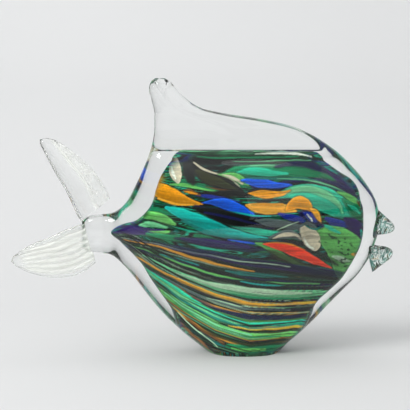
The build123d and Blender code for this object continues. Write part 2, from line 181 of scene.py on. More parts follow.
# Curves between the streams of colour, and where the chips of the upper streams begin
STREAM_PLACES = np.array([-0.48, -0.40, -0.32, -0.22, -0.10, 0.02, 0.14, 0.26, 0.38, 0.48]) * BODY_LENGTH
STREAM_HEIGHTS = np.array([
    (0.689, 0.689, 0.689, 0.686, 0.678, 0.670, 0.662, 0.644, 0.601, 0.587),
    (0.633, 0.633, 0.630, 0.614, 0.604, 0.606, 0.616, 0.615, 0.579, 0.565),
    (0.530, 0.530, 0.543, 0.548, 0.542, 0.529, 0.525, 0.514, 0.501, 0.496),
    (0.496, 0.487, 0.475, 0.458, 0.439, 0.427, 0.433, 0.439, 0.428, 0.425),
    (0.476, 0.457, 0.424, 0.394, 0.370, 0.354, 0.339, 0.317, 0.292, 0.286),
    (0.466, 0.444, 0.404, 0.367, 0.332, 0.305, 0.285, 0.271, 0.264, 0.264),
    (0.456, 0.427, 0.375, 0.329, 0.289, 0.266, 0.252, 0.243, 0.239, 0.239),
    (0.446, 0.407, 0.345, 0.294, 0.253, 0.222, 0.210, 0.207, 0.209, 0.210),
    (0.436, 0.390, 0.326, 0.269, 0.226, 0.193, 0.184, 0.181, 0.184, 0.184),
    (0.423, 0.376, 0.309, 0.246, 0.198, 0.165, 0.158, 0.155, 0.158, 0.159),
    (0.403, 0.357, 0.286, 0.215, 0.159, 0.118, 0.123, 0.130, 0.133, 0.133),
    (0.374, 0.332, 0.263, 0.188, 0.129, 0.093, 0.096, 0.102, 0.107, 0.107),
    (0.323, 0.288, 0.231, 0.162, 0.097, 0.059, 0.066, 0.070, 0.074, 0.075),
]) * BODY_HEIGHT
CHIP_LEAN = math.radians(35.0)
NEAR_CHIPS = [
    {"opal_chip_crown": -0.60, "black_streak_crown": -0.20, "emerald_streak_crown": 0.065},
    {
        "green_chip_brow": -0.60,
        "black_chip_brow": -0.19,
        "lime_chip_brow": -0.045,
        "cobalt_chip_brow": 0.02,
        "emerald_streak_brow": 0.145,
        "amethyst_chip_brow": 0.315,
    },
    {
        "orange_chip_tail": -0.60,
        "cobalt_chip_flank": -0.165,
        "orange_chip_flank": -0.015,
        "amber_chip_eye": 0.155,
        "jade_streak_brow": 0.235,
    },
    {
        "lime_chip_tail": -0.60,
        "aqua_cane_flank": -0.27,
        "slate_chip_flank": 0.065,
        "blue_chip_cheek": 0.20,
        "amethyst_chip_cheek": 0.355,
    },
    {
        "amethyst_cane_tail": -0.60,
        "green_cane_flank": -0.33,
        "amethyst_cane_flank": -0.155,
        "red_chip_cheek": 0.05,
        "lime_chip_cheek": 0.315,
    },
]
FAR_CHIPS = [
    {"far_jade_streak_crown": -0.60, "far_emerald_streak_crown": 0.04},
    {"far_amethyst_chip_brow": -0.60, "far_aqua_streak_brow": -0.05},
    {"far_cobalt_chip_flank": -0.60, "far_orange_chip_flank": 0.00},
    {"far_orange_chip_tail": -0.60, "far_jade_cane_flank": -0.10},
    {"far_aqua_cane_tail": -0.60, "far_lime_chip_cheek": 0.12},
]
CANES = [
    "silver_canes_belly",
    "amethyst_canes_belly",
    "mint_canes_belly",
    "amber_canes_belly",
    "black_canes_belly",
    "amber_canes_foot",
    "jade_canes_foot",
    "lime_canes_foot",
    "green_canes_foot",
]
EYE_CHIPS = {"opal_chip_eye": (4.5, 6.25, -5.0), "cobalt_chip_eye": (4.5, 3.75, 3.0)}


def smooth_step(low, high, value):
    """0 below low, 1 above high, smooth between."""
    t = np.clip((value - low) / (high - low), 0, 1)
    return t * t * (3 - 2 * t)


def curve(rows, place):
    """The rows' other columns at each place in their first column, on a smooth curve."""
    x, y = rows[:, 0], rows[:, 1:]
    slope = np.empty_like(y)
    slope[1:-1] = (y[2:] - y[:-2]) / (x[2:] - x[:-2])[:, None]
    slope[0] = (y[1] - y[0]) / (x[1] - x[0])
    slope[-1] = (y[-1] - y[-2]) / (x[-1] - x[-2])
    place = np.clip(place, x[0], x[-1])
    i = np.clip(np.searchsorted(x, place, side="right") - 1, 0, len(x) - 2)
    span = (x[i + 1] - x[i])[..., None]
    t = ((place - x[i]) / span[..., 0])[..., None]
    value = (
        (2 * t**3 - 3 * t**2 + 1) * y[i]
        + (t**3 - 2 * t**2 + t) * span * slope[i]
        + (3 * t**2 - 2 * t**3) * y[i + 1]
        + (t**3 - t**2) * span * slope[i + 1]
    )
    return np.moveaxis(value, -1, 0)


class Noise:
    """Smooth value noise on a seeded lattice, in 2 dimensions, from -1 to 1."""

    SIZE = 256

    def __init__(self, seed):
        self.lattice = np.random.default_rng(seed).uniform(-1, 1, (self.SIZE, self.SIZE))

    def __call__(self, x, y):
        i, j = np.floor(x).astype(int), np.floor(y).astype(int)
        u, v = smooth_step(0, 1, x - i), smooth_step(0, 1, y - j)
        a = self.lattice[i % self.SIZE, j % self.SIZE]
        b = self.lattice[(i + 1) % self.SIZE, j % self.SIZE]
        c = self.lattice[i % self.SIZE, (j + 1) % self.SIZE]
        d = self.lattice[(i + 1) % self.SIZE, (j + 1) % self.SIZE]
        return (a * (1 - u) + b * u) * (1 - v) + (c * (1 - u) + d * u) * v

    def layers(self, x, y, count=3):
        """Several octaves of the noise, still about from -1 to 1."""
        total = sum(self(x * 2**k + 17.3 * k, y * 2**k + 5.1 * k) / 2**k for k in range(count))
        return total / (2 - 0.5 ** (count - 1))


def make_mesh(name, points, faces):
    """A smooth mesh object from points in millimetres."""
    mesh = bpy.data.meshes.new(name)
    mesh.from_pydata((np.asarray(points, float) * MM).tolist(), [], faces)
    mesh.validate()
    mesh.polygons.foreach_set("use_smooth", [True] * len(mesh.polygons))
    mesh.update()
    obj = bpy.data.objects.new(name, mesh)
    bpy.context.scene.collection.objects.link(obj)
    return obj


def dress(obj, node, material):
    """Gives a piece its material, and its place in the frame."""
    obj.data.materials.append(material)
    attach(obj, "root")
    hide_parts(node)


def grid_faces(rows, columns, closed=True):
    """Quads of a grid stored row by row, closed round its columns."""
    last = columns if closed else columns - 1
    i, j = np.meshgrid(np.arange(rows - 1), np.arange(last), indexing="ij")
    k = (j + 1) % columns
    quads = np.stack([i * columns + j, i * columns + k, (i + 1) * columns + k, (i + 1) * columns + j], -1)
    return quads.reshape(-1, 4)


def end_faces(rows, columns):
    """The faces that close a grid's first and last rows."""
    return [list(range(columns))[::-1], [(rows - 1) * columns + j for j in range(columns)]]


# The clear skin: body, fin and stub in one surface, so that light crosses the glass only where
# the real glass has a surface.


def body_distance(x, y, z):
    """About the distance from the body's surface, negative inside."""
    tail, nose, half = curve(BODY_SLICES, z)
    middle, reach = (nose - tail) / 2, (nose + tail) / 2
    rim = np.minimum(np.minimum(RIM_RADIUS, half), reach / 2)
    out = np.abs(x - middle)
    u = np.minimum(out / reach, 1)
    dome = (half - rim) * (1 - u**2) ** DOME_POWER
    slope = (half - rim) * 2 * DOME_POWER * u * (1 - u**2) ** (DOME_POWER - 1) / reach
    over = np.abs(y) - dome
    on_rim = np.hypot(out - (reach - rim), np.maximum(over, 0)) - rim
    return np.where(out > reach - rim, on_rim, (over - rim) / np.sqrt(1 + slope**2))


def stub_distance(x, y, z):
    """About the distance from the tail stub's surface."""
    t = (STUB_LENGTH - STUB_REACH - x) / STUB_LENGTH
    wide, thick = curve(STUB_SECTIONS, t)
    wide, thick = wide * STUB_WIDTH / 2, thick * STUB_THICKNESS / 2
    gy, gz = np.abs(y) / thick + 1e-9, np.abs(z - STUB_HEIGHT) / wide + 1e-9
    rho = (gy**STUB_SQUARENESS + gz**STUB_SQUARENESS) ** (1 / STUB_SQUARENESS)
    slope = np.hypot((gy / rho) ** (STUB_SQUARENESS - 1) / thick, (gz / rho) ** (STUB_SQUARENESS - 1) / wide)
    side = (rho - 1) / slope
    return np.maximum(side, np.maximum(-x - STUB_REACH, x + STUB_REACH - STUB_LENGTH))


def smooth_min(a, b, blend):
    """The smaller of two distances, rounded where they meet."""
    h = np.clip(0.5 + (b - a) / (2 * blend), 0, 1)
    return b * (1 - h) + a * h - blend * h * (1 - h)


def half_thickness(height, along):
    """Half the body's thickness at a height and a place along it."""
    tail, nose, half = curve(BODY_SLICES, np.array(float(height)))
    middle, reach = (nose - tail) / 2, (nose + tail) / 2
    return float(RIM_RADIUS + (half - RIM_RADIUS) * (1 - ((along - middle) / reach) ** 2) ** DOME_POWER)


EYE_ON_BODY = half_thickness(EYE[1], EYE[0]) + EYE_RADIUS - EYE_DEPTH


def skin_distance(x, y, z):
    """About the distance from the whole clear skin."""
    d = smooth_min(body_distance(x, y, z), stub_distance(x, y, z), STUB_BLEND)
    ball = np.sqrt((x - EYE[0]) ** 2 + (np.abs(y) - EYE_ON_BODY) ** 2 + (z - EYE[1]) ** 2) - EYE_RADIUS
    return -smooth_min(-d, ball, EYE_BLEND)


def skin_rows():
    """Heights of the skin's rows, closer together at the foot's edge and at the fin's tip."""
    foot = [0.0, 0.15, 0.4, 0.8, 1.2]
    return np.array(foot + list(np.arange(1.7, 126.0, 0.6)) + list(np.linspace(126.2, 129.4, 14)))


def clear_skin():
    """The casing's outer surface as one closed mesh, found along rays from each row's middle."""
    heights = skin_rows()
    turn = np.linspace(0, 2 * np.pi, SKIN_COLUMNS, endpoint=False)
    tail, nose, half = curve(BODY_SLICES, heights)
    middle, reach = ((nose - tail) / 2)[:, None], ((nose + tail) / 2)[:, None]
    dx, dy = reach * np.cos(turn), half[:, None] * np.sin(turn)
    z = np.broadcast_to(heights[:, None], dx.shape)
    # the last place inside along each ray, by steps and then by halving
    begin, steps, halvings = 0.5, 90, 26
    far = np.maximum(1.9, 1.25 * 80 / np.maximum(reach, 1.0)) * np.ones_like(dx)
    found = np.full(dx.shape, begin)
    for k in range(steps):
        s = begin + (far - begin) * (k + 1) / steps
        inside = skin_distance(middle + s * dx, s * dy, z) < 0
        found = np.where(inside, s, found)
    low, high = found, found + (far - begin) / steps
    for _ in range(halvings):
        s = (low + high) / 2
        inside = skin_distance(middle + s * dx, s * dy, z) < 0
        low, high = np.where(inside, s, low), np.where(inside, high, s)
    s = (low + high) / 2
    inset = np.where(z < FOOT_BEVEL, FOOT_BEVEL - np.sqrt(np.maximum(FOOT_BEVEL**2 - (FOOT_BEVEL - z) ** 2, 0)), 0)
    s = s - inset / np.sqrt(dx**2 + dy**2)
    wave = 0.12 * Noise(3).layers(turn * 3.0 + 40, z / 13.0, 2) * smooth_step(3, 12, z)
    x = middle + s * dx
    dent = 0.0
    for (x0, z0), (x1, z1) in zip(FIN_MARK, FIN_MARK[1:]):
        t = np.clip(((x - x0) * (x1 - x0) + (z - z0) * (z1 - z0)) / ((x1 - x0) ** 2 + (z1 - z0) ** 2), 0, 1)
        off = (x - x0 - t * (x1 - x0)) ** 2 + (z - z0 - t * (z1 - z0)) ** 2
        dent = np.maximum(dent, np.exp(-(off / MARK_WIDTH**2)))
    wave = wave - MARK_DEPTH * dent
    s = s + wave / np.sqrt(dx**2 + dy**2)
    points = np.stack([middle + s * dx, s * dy, z], -1).reshape(-1, 3)
    rows = len(heights)
    faces = grid_faces(rows, SKIN_COLUMNS).tolist()
    faces += end_faces(rows, SKIN_COLUMNS)
    return make_mesh("clear_casing_skin", points, faces)


# Tail lobes and lips


BLADE_STEPS, BLADE_COLUMNS = 170, 132
# How the steps crowd to the tip, the share of the length that rounds it, and the smooth rim's share
TIP_CROWDING, TIP_SHARE, RIM_SHARE = 1.15, 0.03, 0.35
# How far relief may reach into the blade, as a share of its half thickness
RELIEF_SHARE = 0.6


def blade(name, rows, root, angle, length, width, thickness, twist, relief, begin):
    """A blade along a line in the XZ plane from its root, (x, z), modelled from begin, a place along
    it, to its tip. relief gives how far its surface sinks and how white its frost and painted sheen
    are, from the place along it, the place across it in mm and which face it is."""
    along = np.array([math.cos(math.radians(angle)), 0, math.sin(math.radians(angle))])
    across = np.array([along[2], 0, -along[0]])
    turn = np.linspace(0, 2 * np.pi, BLADE_COLUMNS, endpoint=False)
    place = 1 - (1 - np.linspace(begin, 1, BLADE_STEPS)) ** TIP_CROWDING
    wide, thick, shift = curve(rows, place)
    tip = np.sqrt(np.clip((1 - place) / TIP_SHARE, 0, 1))
    half_wide, half_thick = (wide * width / 2 * tip)[:, None], (thick * thickness / 2 * tip)[:, None]
    u = half_wide * np.cos(turn)
    v = half_thick * np.sin(turn)
    sunk, frost_and_sheen = relief(place[:, None], u, np.sign(np.sin(turn))[None, :])
    room = smooth_step(0.0, RIM_SHARE, np.abs(np.sin(turn)))[None, :] * tip[:, None]
    v = v - np.sign(v) * np.minimum(sunk * room, RELIEF_SHARE * np.abs(v))
    c, sn = math.cos(math.radians(twist)), math.sin(math.radians(twist))
    a, b = u * c - v * sn, u * sn + v * c
    base = np.array([root[0], 0, root[1]]) + place[:, None, None] * length * along
    points = base + (a + (shift * width)[:, None])[..., None] * across
    points = points + b[..., None] * np.array([0, 1, 0])
    faces = grid_faces(BLADE_STEPS, BLADE_COLUMNS).tolist() + end_faces(BLADE_STEPS, BLADE_COLUMNS)
    obj = make_mesh(name, points.reshape(-1, 3), faces)
    # the white of frost and painted sheen, for the material
    obj.data.attributes.new("Frost", "FLOAT", "POINT").data.foreach_set("value", (frost_and_sheen * room).ravel())
    return obj


def crimps(place, across, face):
    """The upper lobe's clear window, the ridge beside it and the crimped strip behind, whitened by frost and painted
    sheen.
    """
    grain = Noise(61)
    line = 0.6 + 1.6 * place + 0.5 * grain(place * 6, across * 0 + 4)
    strip = smooth_step(line - 0.5, line + 1.2, across)
    bumps = grain.layers(place * 22 + 9 * (face > 0), across / 1.5 + 20, 3)
    ridge = np.exp(-(((across - line) / 0.55) ** 2)) * (1 - smooth_step(0.86, 0.97, place))
    sunk = (0.5 + 0.5 * bumps) * strip * 0.75 - 0.3 * ridge
    frost_and_sheen = 0.85 * ridge + strip * (0.18 + 0.5 * smooth_step(0.0, 0.6, bumps))
    return np.maximum(sunk, 0), frost_and_sheen


def ribs(place, across, face):
    """Lengthwise ribs of the lower lobe inside its clear rim, drawn together at the tip, whitened by frost and painted
    sheen.
    """
    grain = Noise(67)
    wave = 0.55 * grain.layers(place * 3.2 + 5 * (face > 0), across / 9 + 3, 2)
    spread = across / (1.15 - 0.75 * place**3)
    rib = 0.5 + 0.5 * np.cos(2 * np.pi * (spread / 2.7 + wave))
    fine = 0.5 + 0.5 * np.cos(2 * np.pi * (spread / 1.1 + 2.3 * wave + 0.3))
    half = curve(LOWER_LOBE_SECTIONS, place)[0] * LOWER_LOBE_WIDTH / 2
    inside = (1 - smooth_step(0.80, 0.94, place)) * (1 - smooth_step(0.74, 0.90, np.abs(across) / half))
    return (0.40 * rib + 0.12 * fine) * inside, inside * (0.45 + 0.35 * rib + 0.2 * fine)


def folds(place, across, face):
    """Curling folds of a lip."""
    grain = Noise(71)
    wave = 1.6 * grain(place * 4 + 3 * (face > 0), across / 6 + 8)
    sunk = 0.55 * (0.5 + 0.5 * np.cos(2 * np.pi * (across / 4.2 + wave + 1.5 * place)))
    return sunk, 0 * sunk


def tail_and_lips():
    """The four bits set on last, in the places of their nodes."""
    bits = {
        "tail_lobe_upper": (
            UPPER_LOBE_SECTIONS, UPPER_LOBE_ROOT, UPPER_LOBE_ANGLE, UPPER_LOBE_LENGTH, UPPER_LOBE_WIDTH,
            LOBE_THICKNESS, UPPER_LOBE_TWIST, crimps, 0.06, frost_and_sheen_glass("lobe_glass", UPPER_LOBE_ANGLE),
            "clear_frosted",
        ),
        "tail_lobe_lower": (
            LOWER_LOBE_SECTIONS, LOWER_LOBE_ROOT, LOWER_LOBE_ANGLE, LOWER_LOBE_LENGTH, LOWER_LOBE_WIDTH,
            LOBE_THICKNESS, LOWER_LOBE_TWIST, ribs, 0.06, frost_and_sheen_glass("frost_and_sheen_glass", LOWER_LOBE_ANGLE),
            "clear_frosted",
        ),
    }
    lip_glass = folded_glass()
    for node, tip, angle, length, width, begin in (
        ("lip_upper", UPPER_LIP_TIP, UPPER_LIP_ANGLE, UPPER_LIP_LENGTH, UPPER_LIP_WIDTH, 0.25),
        ("lip_lower", LOWER_LIP_TIP, LOWER_LIP_ANGLE, LOWER_LIP_LENGTH, LOWER_LIP_WIDTH, 0.30),
    ):
        root = lip_root(*tip, angle, length)
        bits[node] = (
            LIP_SECTIONS, root, angle, length, width, LIP_THICKNESS, 0.0, folds, begin, lip_glass, "clear_lip",
        )
    for node, (*shape, glass, slot) in bits.items():
        obj = blade(node + "_blown", *shape)
        dress(obj, node, glass)


def lip_root(tip_x, tip_z, angle, length):
    """Where a lip begins, from its tip."""
    return (
        tip_x - length * math.cos(math.radians(angle)),
        tip_z - length * math.sin(math.radians(angle)),
    )


# The colour layer


# The pixels about which the outer glass bends the view, and the scale of the bend
BEND_MIDDLE, BEND_SCALE = 250, 100


def flank_place(x, z):
    """The picture's pixel at which a place of the near flank is seen. The outer glass works as a
    lens, so places toward its rim are seen bent outward, by a curve of the third degree."""
    seen_x = x + 2.4 * (x / 50) ** 3
    seen_z = z - 3.5 + 2.7 * smooth_step(57, 90, z)
    px, py = PICTURE_ORIGIN[0] + seen_x / PIXEL, PICTURE_ORIGIN[1] - seen_z / PIXEL_HEIGHT
    u, v = (px - BEND_MIDDLE) / BEND_SCALE, (py - BEND_MIDDLE) / BEND_SCALE
    bent_x = 0.8 + 3.0 * u - 0.8 * v - 1.0 * u**2 - 0.7 * v**2 - 4.9 * u**3 - 0.8 * u * v**2
    bent_y = -0.25 + 0.4 * v - 4.0 * u**2 - 1.5 * v**2 - 3.9 * u**2 * v - 1.4 * v**3
    return px + bent_x, py + bent_y


def stream_place(x, z):
    """How far across the streams a place lies: 0 at the first curve, 1 at the second and so on."""
    heights = np.array([np.interp(x, STREAM_PLACES, row) for row in STREAM_HEIGHTS])
    place = np.full(x.shape, -1.0) + np.clip((heights[0] + 18 - z) / 18, -1, 1)
    for k in range(len(heights) - 1):
        place += np.clip((heights[k] - z) / (heights[k] - heights[k + 1]), 0, 1)
    return place + np.clip((heights[-1] - z) / 9, 0, 1.5)


PALETTE = {
    "orange": (0.68, 0.31, 0.003),
    "amber": (0.72, 0.38, 0.04),
    "brown": (0.20, 0.09, 0.02),
    "cobalt": (0.0, 0.12, 0.63),
    "blue": (0.01, 0.035, 0.28),
    "aqua": (0.0, 0.42, 0.37),
    "jade": (0.025, 0.49, 0.32),
    "emerald": (0.002, 0.25, 0.11),
    "forest": (0.003, 0.05, 0.018),
    "lime": (0.15, 0.48, 0.13),
    "mint": (0.18, 0.54, 0.29),
    "silver": (0.42, 0.58, 0.42),
    "red": (0.80, 0.065, 0.015),
    "amethyst": (0.035, 0.012, 0.13),
    "navy": (0.004, 0.007, 0.075),
    "black": (0.004, 0.008, 0.006),
    "olive": (0.035, 0.04, 0.008),
    "cream": (0.62, 0.58, 0.44),
    "slate": (0.10, 0.14, 0.14),
    "white": (0.75, 0.80, 0.70),
    "teal": (0.005, 0.20, 0.17),
}

# Bold chips, lowest first: glass, middle line with the half width at each point, edge softness
CHIPS = [
    ("forest", [(158, 161, 5), (200, 158, 7), (250, 157, 7), (312, 158, 7)], 2.0),
    ("black", [(168, 158, 2), (200, 160, 5), (240, 161, 4), (285, 160, 3), (318, 165, 1)], 2.0),
    ("emerald", [(216, 176, 1), (236, 172, 4.4), (260, 171, 6), (285, 170, 6), (312, 172, 5), (336, 179, 2)], 2.6),
    ("jade", [(236, 173, 0.8), (250, 171, 3.4), (268, 172, 3.4), (288, 173, 1)], 3.0),
    ("emerald", [(196, 157, 0.5), (225, 158.5, 1.0), (262, 158, 0.8), (300, 157, 0.5)], 0.8),
    ("mint", [(232, 163, 0.3), (258, 162, 0.6), (285, 160.5, 0.7), (312, 161, 0.4)], 0.5),
    ("mint", [(250, 166, 0.3), (275, 165, 0.5), (300, 165, 0.6), (318, 168, 0.3)], 0.5),
    # painted highlight: the white line along the top of the crown
    ("white", [(256, 155, 0.4), (280, 154, 0.8), (300, 154.5, 1.0), (313, 158, 0.6)], 0.5),
    ("navy", [(276, 166, 1), (296, 164, 2.6), (318, 168, 3), (334, 176, 1)], 2.0),
    ("emerald", [(178, 182, 1), (196, 185, 2), (218, 189, 1)], 1.4),
    ("lime", [(170, 184, 0.6), (182, 183.5, 1.8), (196, 186, 1.2), (216, 190, 0.5)], 1.0),
    ("black", [(185, 157, 2), (188, 166, 5), (190, 175, 5), (194, 182, 2)], 1.4),
    ("black", [(190, 164, 1.4), (203, 173, 6), (217, 180, 7), (230, 186, 5), (242, 190, 1)], 1.2),
    ("olive", [(196, 170, 1), (208, 177, 4.6), (222, 183, 3.6), (236, 188.5, 0.8)], 1.6),
    ("brown", [(206, 185.5, 0.3), (222, 188.5, 0.6), (238, 190.5, 0.5)], 0.6),
    ("cream", [(193, 163, 0.5), (204, 169, 0.9), (218, 173.5, 0.8), (230, 178, 0.8), (239, 186, 0.4)], 0.6),
    ("lime", [(218, 174, 0.6), (230, 175, 2.6), (240, 179, 4), (248, 184, 1)], 1.6),
    ("cream", [(222, 174, 0.4), (232, 177, 1.4), (242, 183, 0.8)], 1.2),
    ("navy", [(252, 186, 1), (268, 188, 4), (290, 184, 5), (318, 182, 4.6), (338, 187, 4), (352, 195, 1.4)], 1.4),
    ("black", [
        (250, 190, 1.2), (268, 189, 2.8), (290, 185.5, 3.4),
        (316, 184, 3.4), (334, 187, 3), (346, 192, 1),
    ], 1.2),
    ("cobalt", [(241, 180, 0.8), (249, 180.5, 3), (262, 182, 5), (276, 184, 3), (292, 184, 0.6)], 1.2),
    ("teal", [(246, 177.5, 0.6), (280, 177.5, 1.3), (313, 179, 1.3), (348, 192.5, 0.7)], 0.8),
    ("mint", [(278, 177.5, 0.3), (306, 178.5, 0.6), (330, 184, 0.6), (350, 194, 0.3)], 0.5),
    ("amethyst", [(322, 165, 1.5), (334, 171, 5), (345, 180, 6.4), (354, 192, 4.6), (360, 202, 1)], 1.6),
    ("navy", [(334, 181, 1), (342, 186, 2.4), (352, 194, 1.4)], 1.2),
    ("aqua", [(325, 166.5, 0.5), (331, 169.5, 1.3), (338, 173.5, 0.5)], 0.8),
    ("cream", [(174, 159, 2.4), (175, 166, 5.6), (176.5, 174, 5.6), (178.5, 181, 1.6)], 0.9),
    ("white", [(172, 166, 0.6), (173.5, 173, 1.4), (176, 178, 0.6)], 1.0),
    ("black", [(196, 192, 1.4), (214, 193, 3), (236, 192, 3), (250, 195, 1)], 1.4),
    ("blue", [(198, 194, 0.8), (210, 195, 1.8), (226, 198, 1.4), (240, 201, 0.6)], 1.2),
    ("brown", [(184, 190, 0.6), (191, 190.5, 2.2), (201, 194, 0.6)], 1.0),
    ("orange", [(185, 191, 0.4), (191, 191.5, 1.2), (198, 193, 0.4)], 0.8),
    ("orange", [(153, 189, 5), (162, 191.5, 8), (174, 196, 7.5), (188, 200.5, 4), (203, 203, 0.7)], 0.9),
    ("amber", [(158, 199, 1), (172, 203.5, 1.2), (188, 204.5, 0.9), (200, 204, 0.4)], 0.7),
    ("jade", [
        (270, 203, 1.6), (285, 193, 4.6), (304, 191, 8), (322, 197, 12),
        (338, 206, 11), (350, 213, 7), (360, 217, 3),
    ], 1.6),
    ("mint", [
        (276, 196, 0.8), (290, 189.5, 2.6), (308, 187.5, 3),
        (326, 193, 3.4), (338, 203, 2.4), (342, 212, 0.8),
    ], 3.0),
    ("emerald", [(344, 199, 1), (351, 205, 5), (356, 212, 6), (360, 218, 3)], 2.0),
    ("jade", [(348, 204, 0.6), (354, 208, 2), (359, 213, 0.8)], 1.6),
    ("lime", [(338, 191, 0.6), (346, 195, 2.2), (355, 200, 2.2), (361, 206, 0.8)], 1.4),
    ("brown", [(358, 202, 1), (360.5, 205, 1.8), (361, 209, 1)], 0.8),
    ("orange", [(248, 192, 0.6), (258, 193, 3.2), (268, 194, 4), (280, 193, 2.4), (290, 189, 0.5)], 1.0),
    ("black", [(240, 199.5, 1.2), (256, 199.8, 1.4), (276, 199, 1.3), (290, 197, 0.6)], 0.9),
    ("amber", [(246, 204, 1), (256, 206.5, 4.6), (270, 207.5, 5.8), (284, 207.5, 4.6), (296, 210, 1)], 1.2),
    ("orange", [(252, 203, 0.6), (266, 203.5, 1.6), (282, 203, 1.2)], 1.2),
    ("navy", [(196, 205.5, 1), (212, 209.5, 3), (236, 213, 3), (262, 217, 1)], 1.6),
    ("cobalt", [
        (203, 201.5, 0.5), (214, 200.8, 3), (226, 203, 5.6),
        (238, 207.5, 5), (248, 211.5, 2.4), (255, 214, 0.5),
    ], 0.8),
    ("aqua", [(226, 210.5, 0.3), (240, 213, 0.9), (256, 215, 0.8), (272, 215, 0.4)], 0.6),
    ("lime", [(138, 219, 1.6), (150, 217, 4), (163, 219, 4), (175, 224, 1.4)], 1.4),
    ("mint", [(140, 226, 1), (152, 224, 2.4), (166, 227, 1.4)], 1.2),
    ("lime", [(138, 231, 0.8), (152, 232, 2.4), (168, 231, 1)], 1.2),
    ("forest", [(140, 222, 0.6), (154, 221.5, 1), (174, 228, 1)], 0.9),
    ("amethyst", [(136, 226, 0.6), (150, 228.5, 1.0), (164, 229.5, 0.5)], 0.8),
    ("aqua", [
        (166, 208, 1.2), (180, 213, 4.6), (195, 219, 6.2), (210, 225.5, 5.6),
        (228, 231, 4), (246, 235, 2.6), (268, 238, 0.8),
    ], 0.9),
    ("teal", [(182, 221, 0.8), (202, 230, 2), (224, 235.5, 1.8), (252, 240, 1.6), (284, 241, 0.5)], 1.2),
    ("jade", [(226, 224, 0.6), (244, 228, 2.6), (264, 232, 3.4), (282, 233, 2), (298, 231, 0.6)], 1.6),
    ("navy", [(226, 238, 0.6), (246, 241, 1.6), (270, 243, 1.4), (284, 242, 0.6)], 1.0),
    ("black", [(194, 207, 1), (208, 211.5, 5), (224, 217, 7.4), (242, 221, 6), (262, 223, 4), (286, 224, 1)], 1.4),
    ("navy", [(205, 212, 1), (222, 216, 1.4), (244, 221, 1.2), (262, 224, 0.5)], 1.4),
    ("slate", [(256, 220, 1), (272, 222, 4), (288, 224, 4), (300, 228, 3), (306, 233, 1)], 2.4),
    ("black", [(284, 216, 1), (294, 219, 2.4), (303, 223, 2)], 1.2),
    ("blue", [(280, 213, 1), (290, 216, 3), (302, 219, 3.4)], 1.2),
    ("silver", [(278, 229.5, 0.3), (288, 225.5, 0.6), (299, 221, 0.4)], 0.6),
    ("slate", [(270, 238, 0.8), (280, 235, 3.4), (292, 234, 4), (302, 239, 1.4)], 1.6),
    ("cream", [(274, 238, 0.5), (284, 234.5, 1.8), (296, 235, 1.4), (302, 239, 0.5)], 1.4),
    ("black", [(276, 243.5, 0.6), (290, 241.5, 1.4), (304, 243, 2)], 1.4),
    ("blue", [(326, 218, 1.4), (334, 222.5, 4), (344, 226, 4), (352, 228, 1)], 1.2),
    ("navy", [(330, 228, 1), (340, 231, 2.4), (350, 230, 2)], 1.4),
    ("amethyst", [(345, 219, 2), (353, 225, 6), (360, 234, 6.4), (363, 242, 3)], 1.2),
    ("aqua", [(360, 231, 0.8), (361.8, 237, 2), (362, 243, 0.8)], 0.7),
    ("amethyst", [(112, 229, 2), (128, 228, 3), (145, 231, 2), (158, 234, 0.8)], 1.2),
    ("emerald", [(146, 232, 1), (168, 236, 2.6), (198, 240, 2), (232, 247, 0.6)], 1.4),
    ("navy", [(174, 237, 0.8), (196, 240, 3.6), (222, 244, 4.8), (246, 248, 3.6), (266, 250, 0.8)], 1.2),
    ("amethyst", [(180, 237, 0.8), (200, 240.5, 3), (226, 244, 3.6), (250, 247.5, 1.2)], 1.4),
    ("cobalt", [(228, 239, 0.4), (244, 242, 1.0), (262, 244.5, 0.5)], 0.9),
    ("lime", [(306, 231, 1), (322, 233, 7), (338, 241, 14), (347, 252, 17), (346, 264, 13), (341, 273, 5)], 1.4),
    ("jade", [(322, 224, 0.6), (330, 228, 1.8), (340, 233, 1)], 1.2),
    ("silver", [(334, 256, 0.8), (341, 258, 2.6), (349, 260, 0.8)], 1.4),
    ("amber", [(351, 253, 0.8), (354.5, 254, 1.8), (358, 256, 0.8)], 0.8),
    ("lime", [(256, 243, 0.6), (265, 246, 2.4), (278, 253, 2.6), (298, 263, 1.6), (326, 271, 0.6)], 1.2),
    ("black", [(290, 242, 1), (306, 246, 3.4), (322, 255, 3.2), (338, 264, 0.8)], 1.2),
    ("olive", [(268, 251, 1), (280, 256, 3.4), (296, 261, 2.6), (312, 266, 0.8)], 1.6),
    ("black", [(250, 259, 1), (276, 264, 2.8), (302, 269, 3.2), (332, 274, 2)], 1.4),
    ("red", [
        (264, 244.5, 0.6), (278, 246, 3.6), (291, 249, 5.4),
        (304, 254, 5), (317, 260.5, 3.4), (332, 267.5, 0.5),
    ], 0.7),
    ("orange", [(266, 243.5, 0.3), (278, 242.6, 0.8), (292, 244, 0.7), (306, 249, 0.3)], 0.6),
    ("navy", [(301, 212, 2), (308, 214, 5.4), (315, 219, 5), (321, 226, 3)], 1.0),
    ("blue", [(304, 212, 1), (310, 215, 3.4), (316, 221, 2)], 1.2),
    # painted shade: the dark arc over the eye's cream petal
    ("slate", [(301, 228, 1), (305, 224, 3), (312, 226, 3), (318, 230, 1)], 1.2),
    ("white", [(307, 213, 0.4), (311, 216.5, 0.9), (313, 221, 0.4)], 0.5),
    ("cream", [(304, 229, 3), (307, 233, 5.6), (312, 238, 8.4), (315, 243, 6.4), (316, 248, 2)], 0.7),
    ("teal", [(306, 226, 0.5), (312, 229, 0.9), (318, 230, 0.9), (322, 227, 0.4)], 0.5),
    # painted highlight: the white line on the lower-left edge of the eye's cream petal
    ("white", [(305, 238, 0.4), (309, 245, 1.2), (314, 248, 0.9)], 0.8),
    ("orange", [(287, 209, 1), (291, 204, 4.4), (298, 201, 6), (306, 203, 5.4), (312, 209, 1.6)], 0.9),
    ("amber", [(310, 207, 0.8), (315, 211, 2.6), (320, 219, 1.2), (322, 223, 0.4)], 0.9),
]

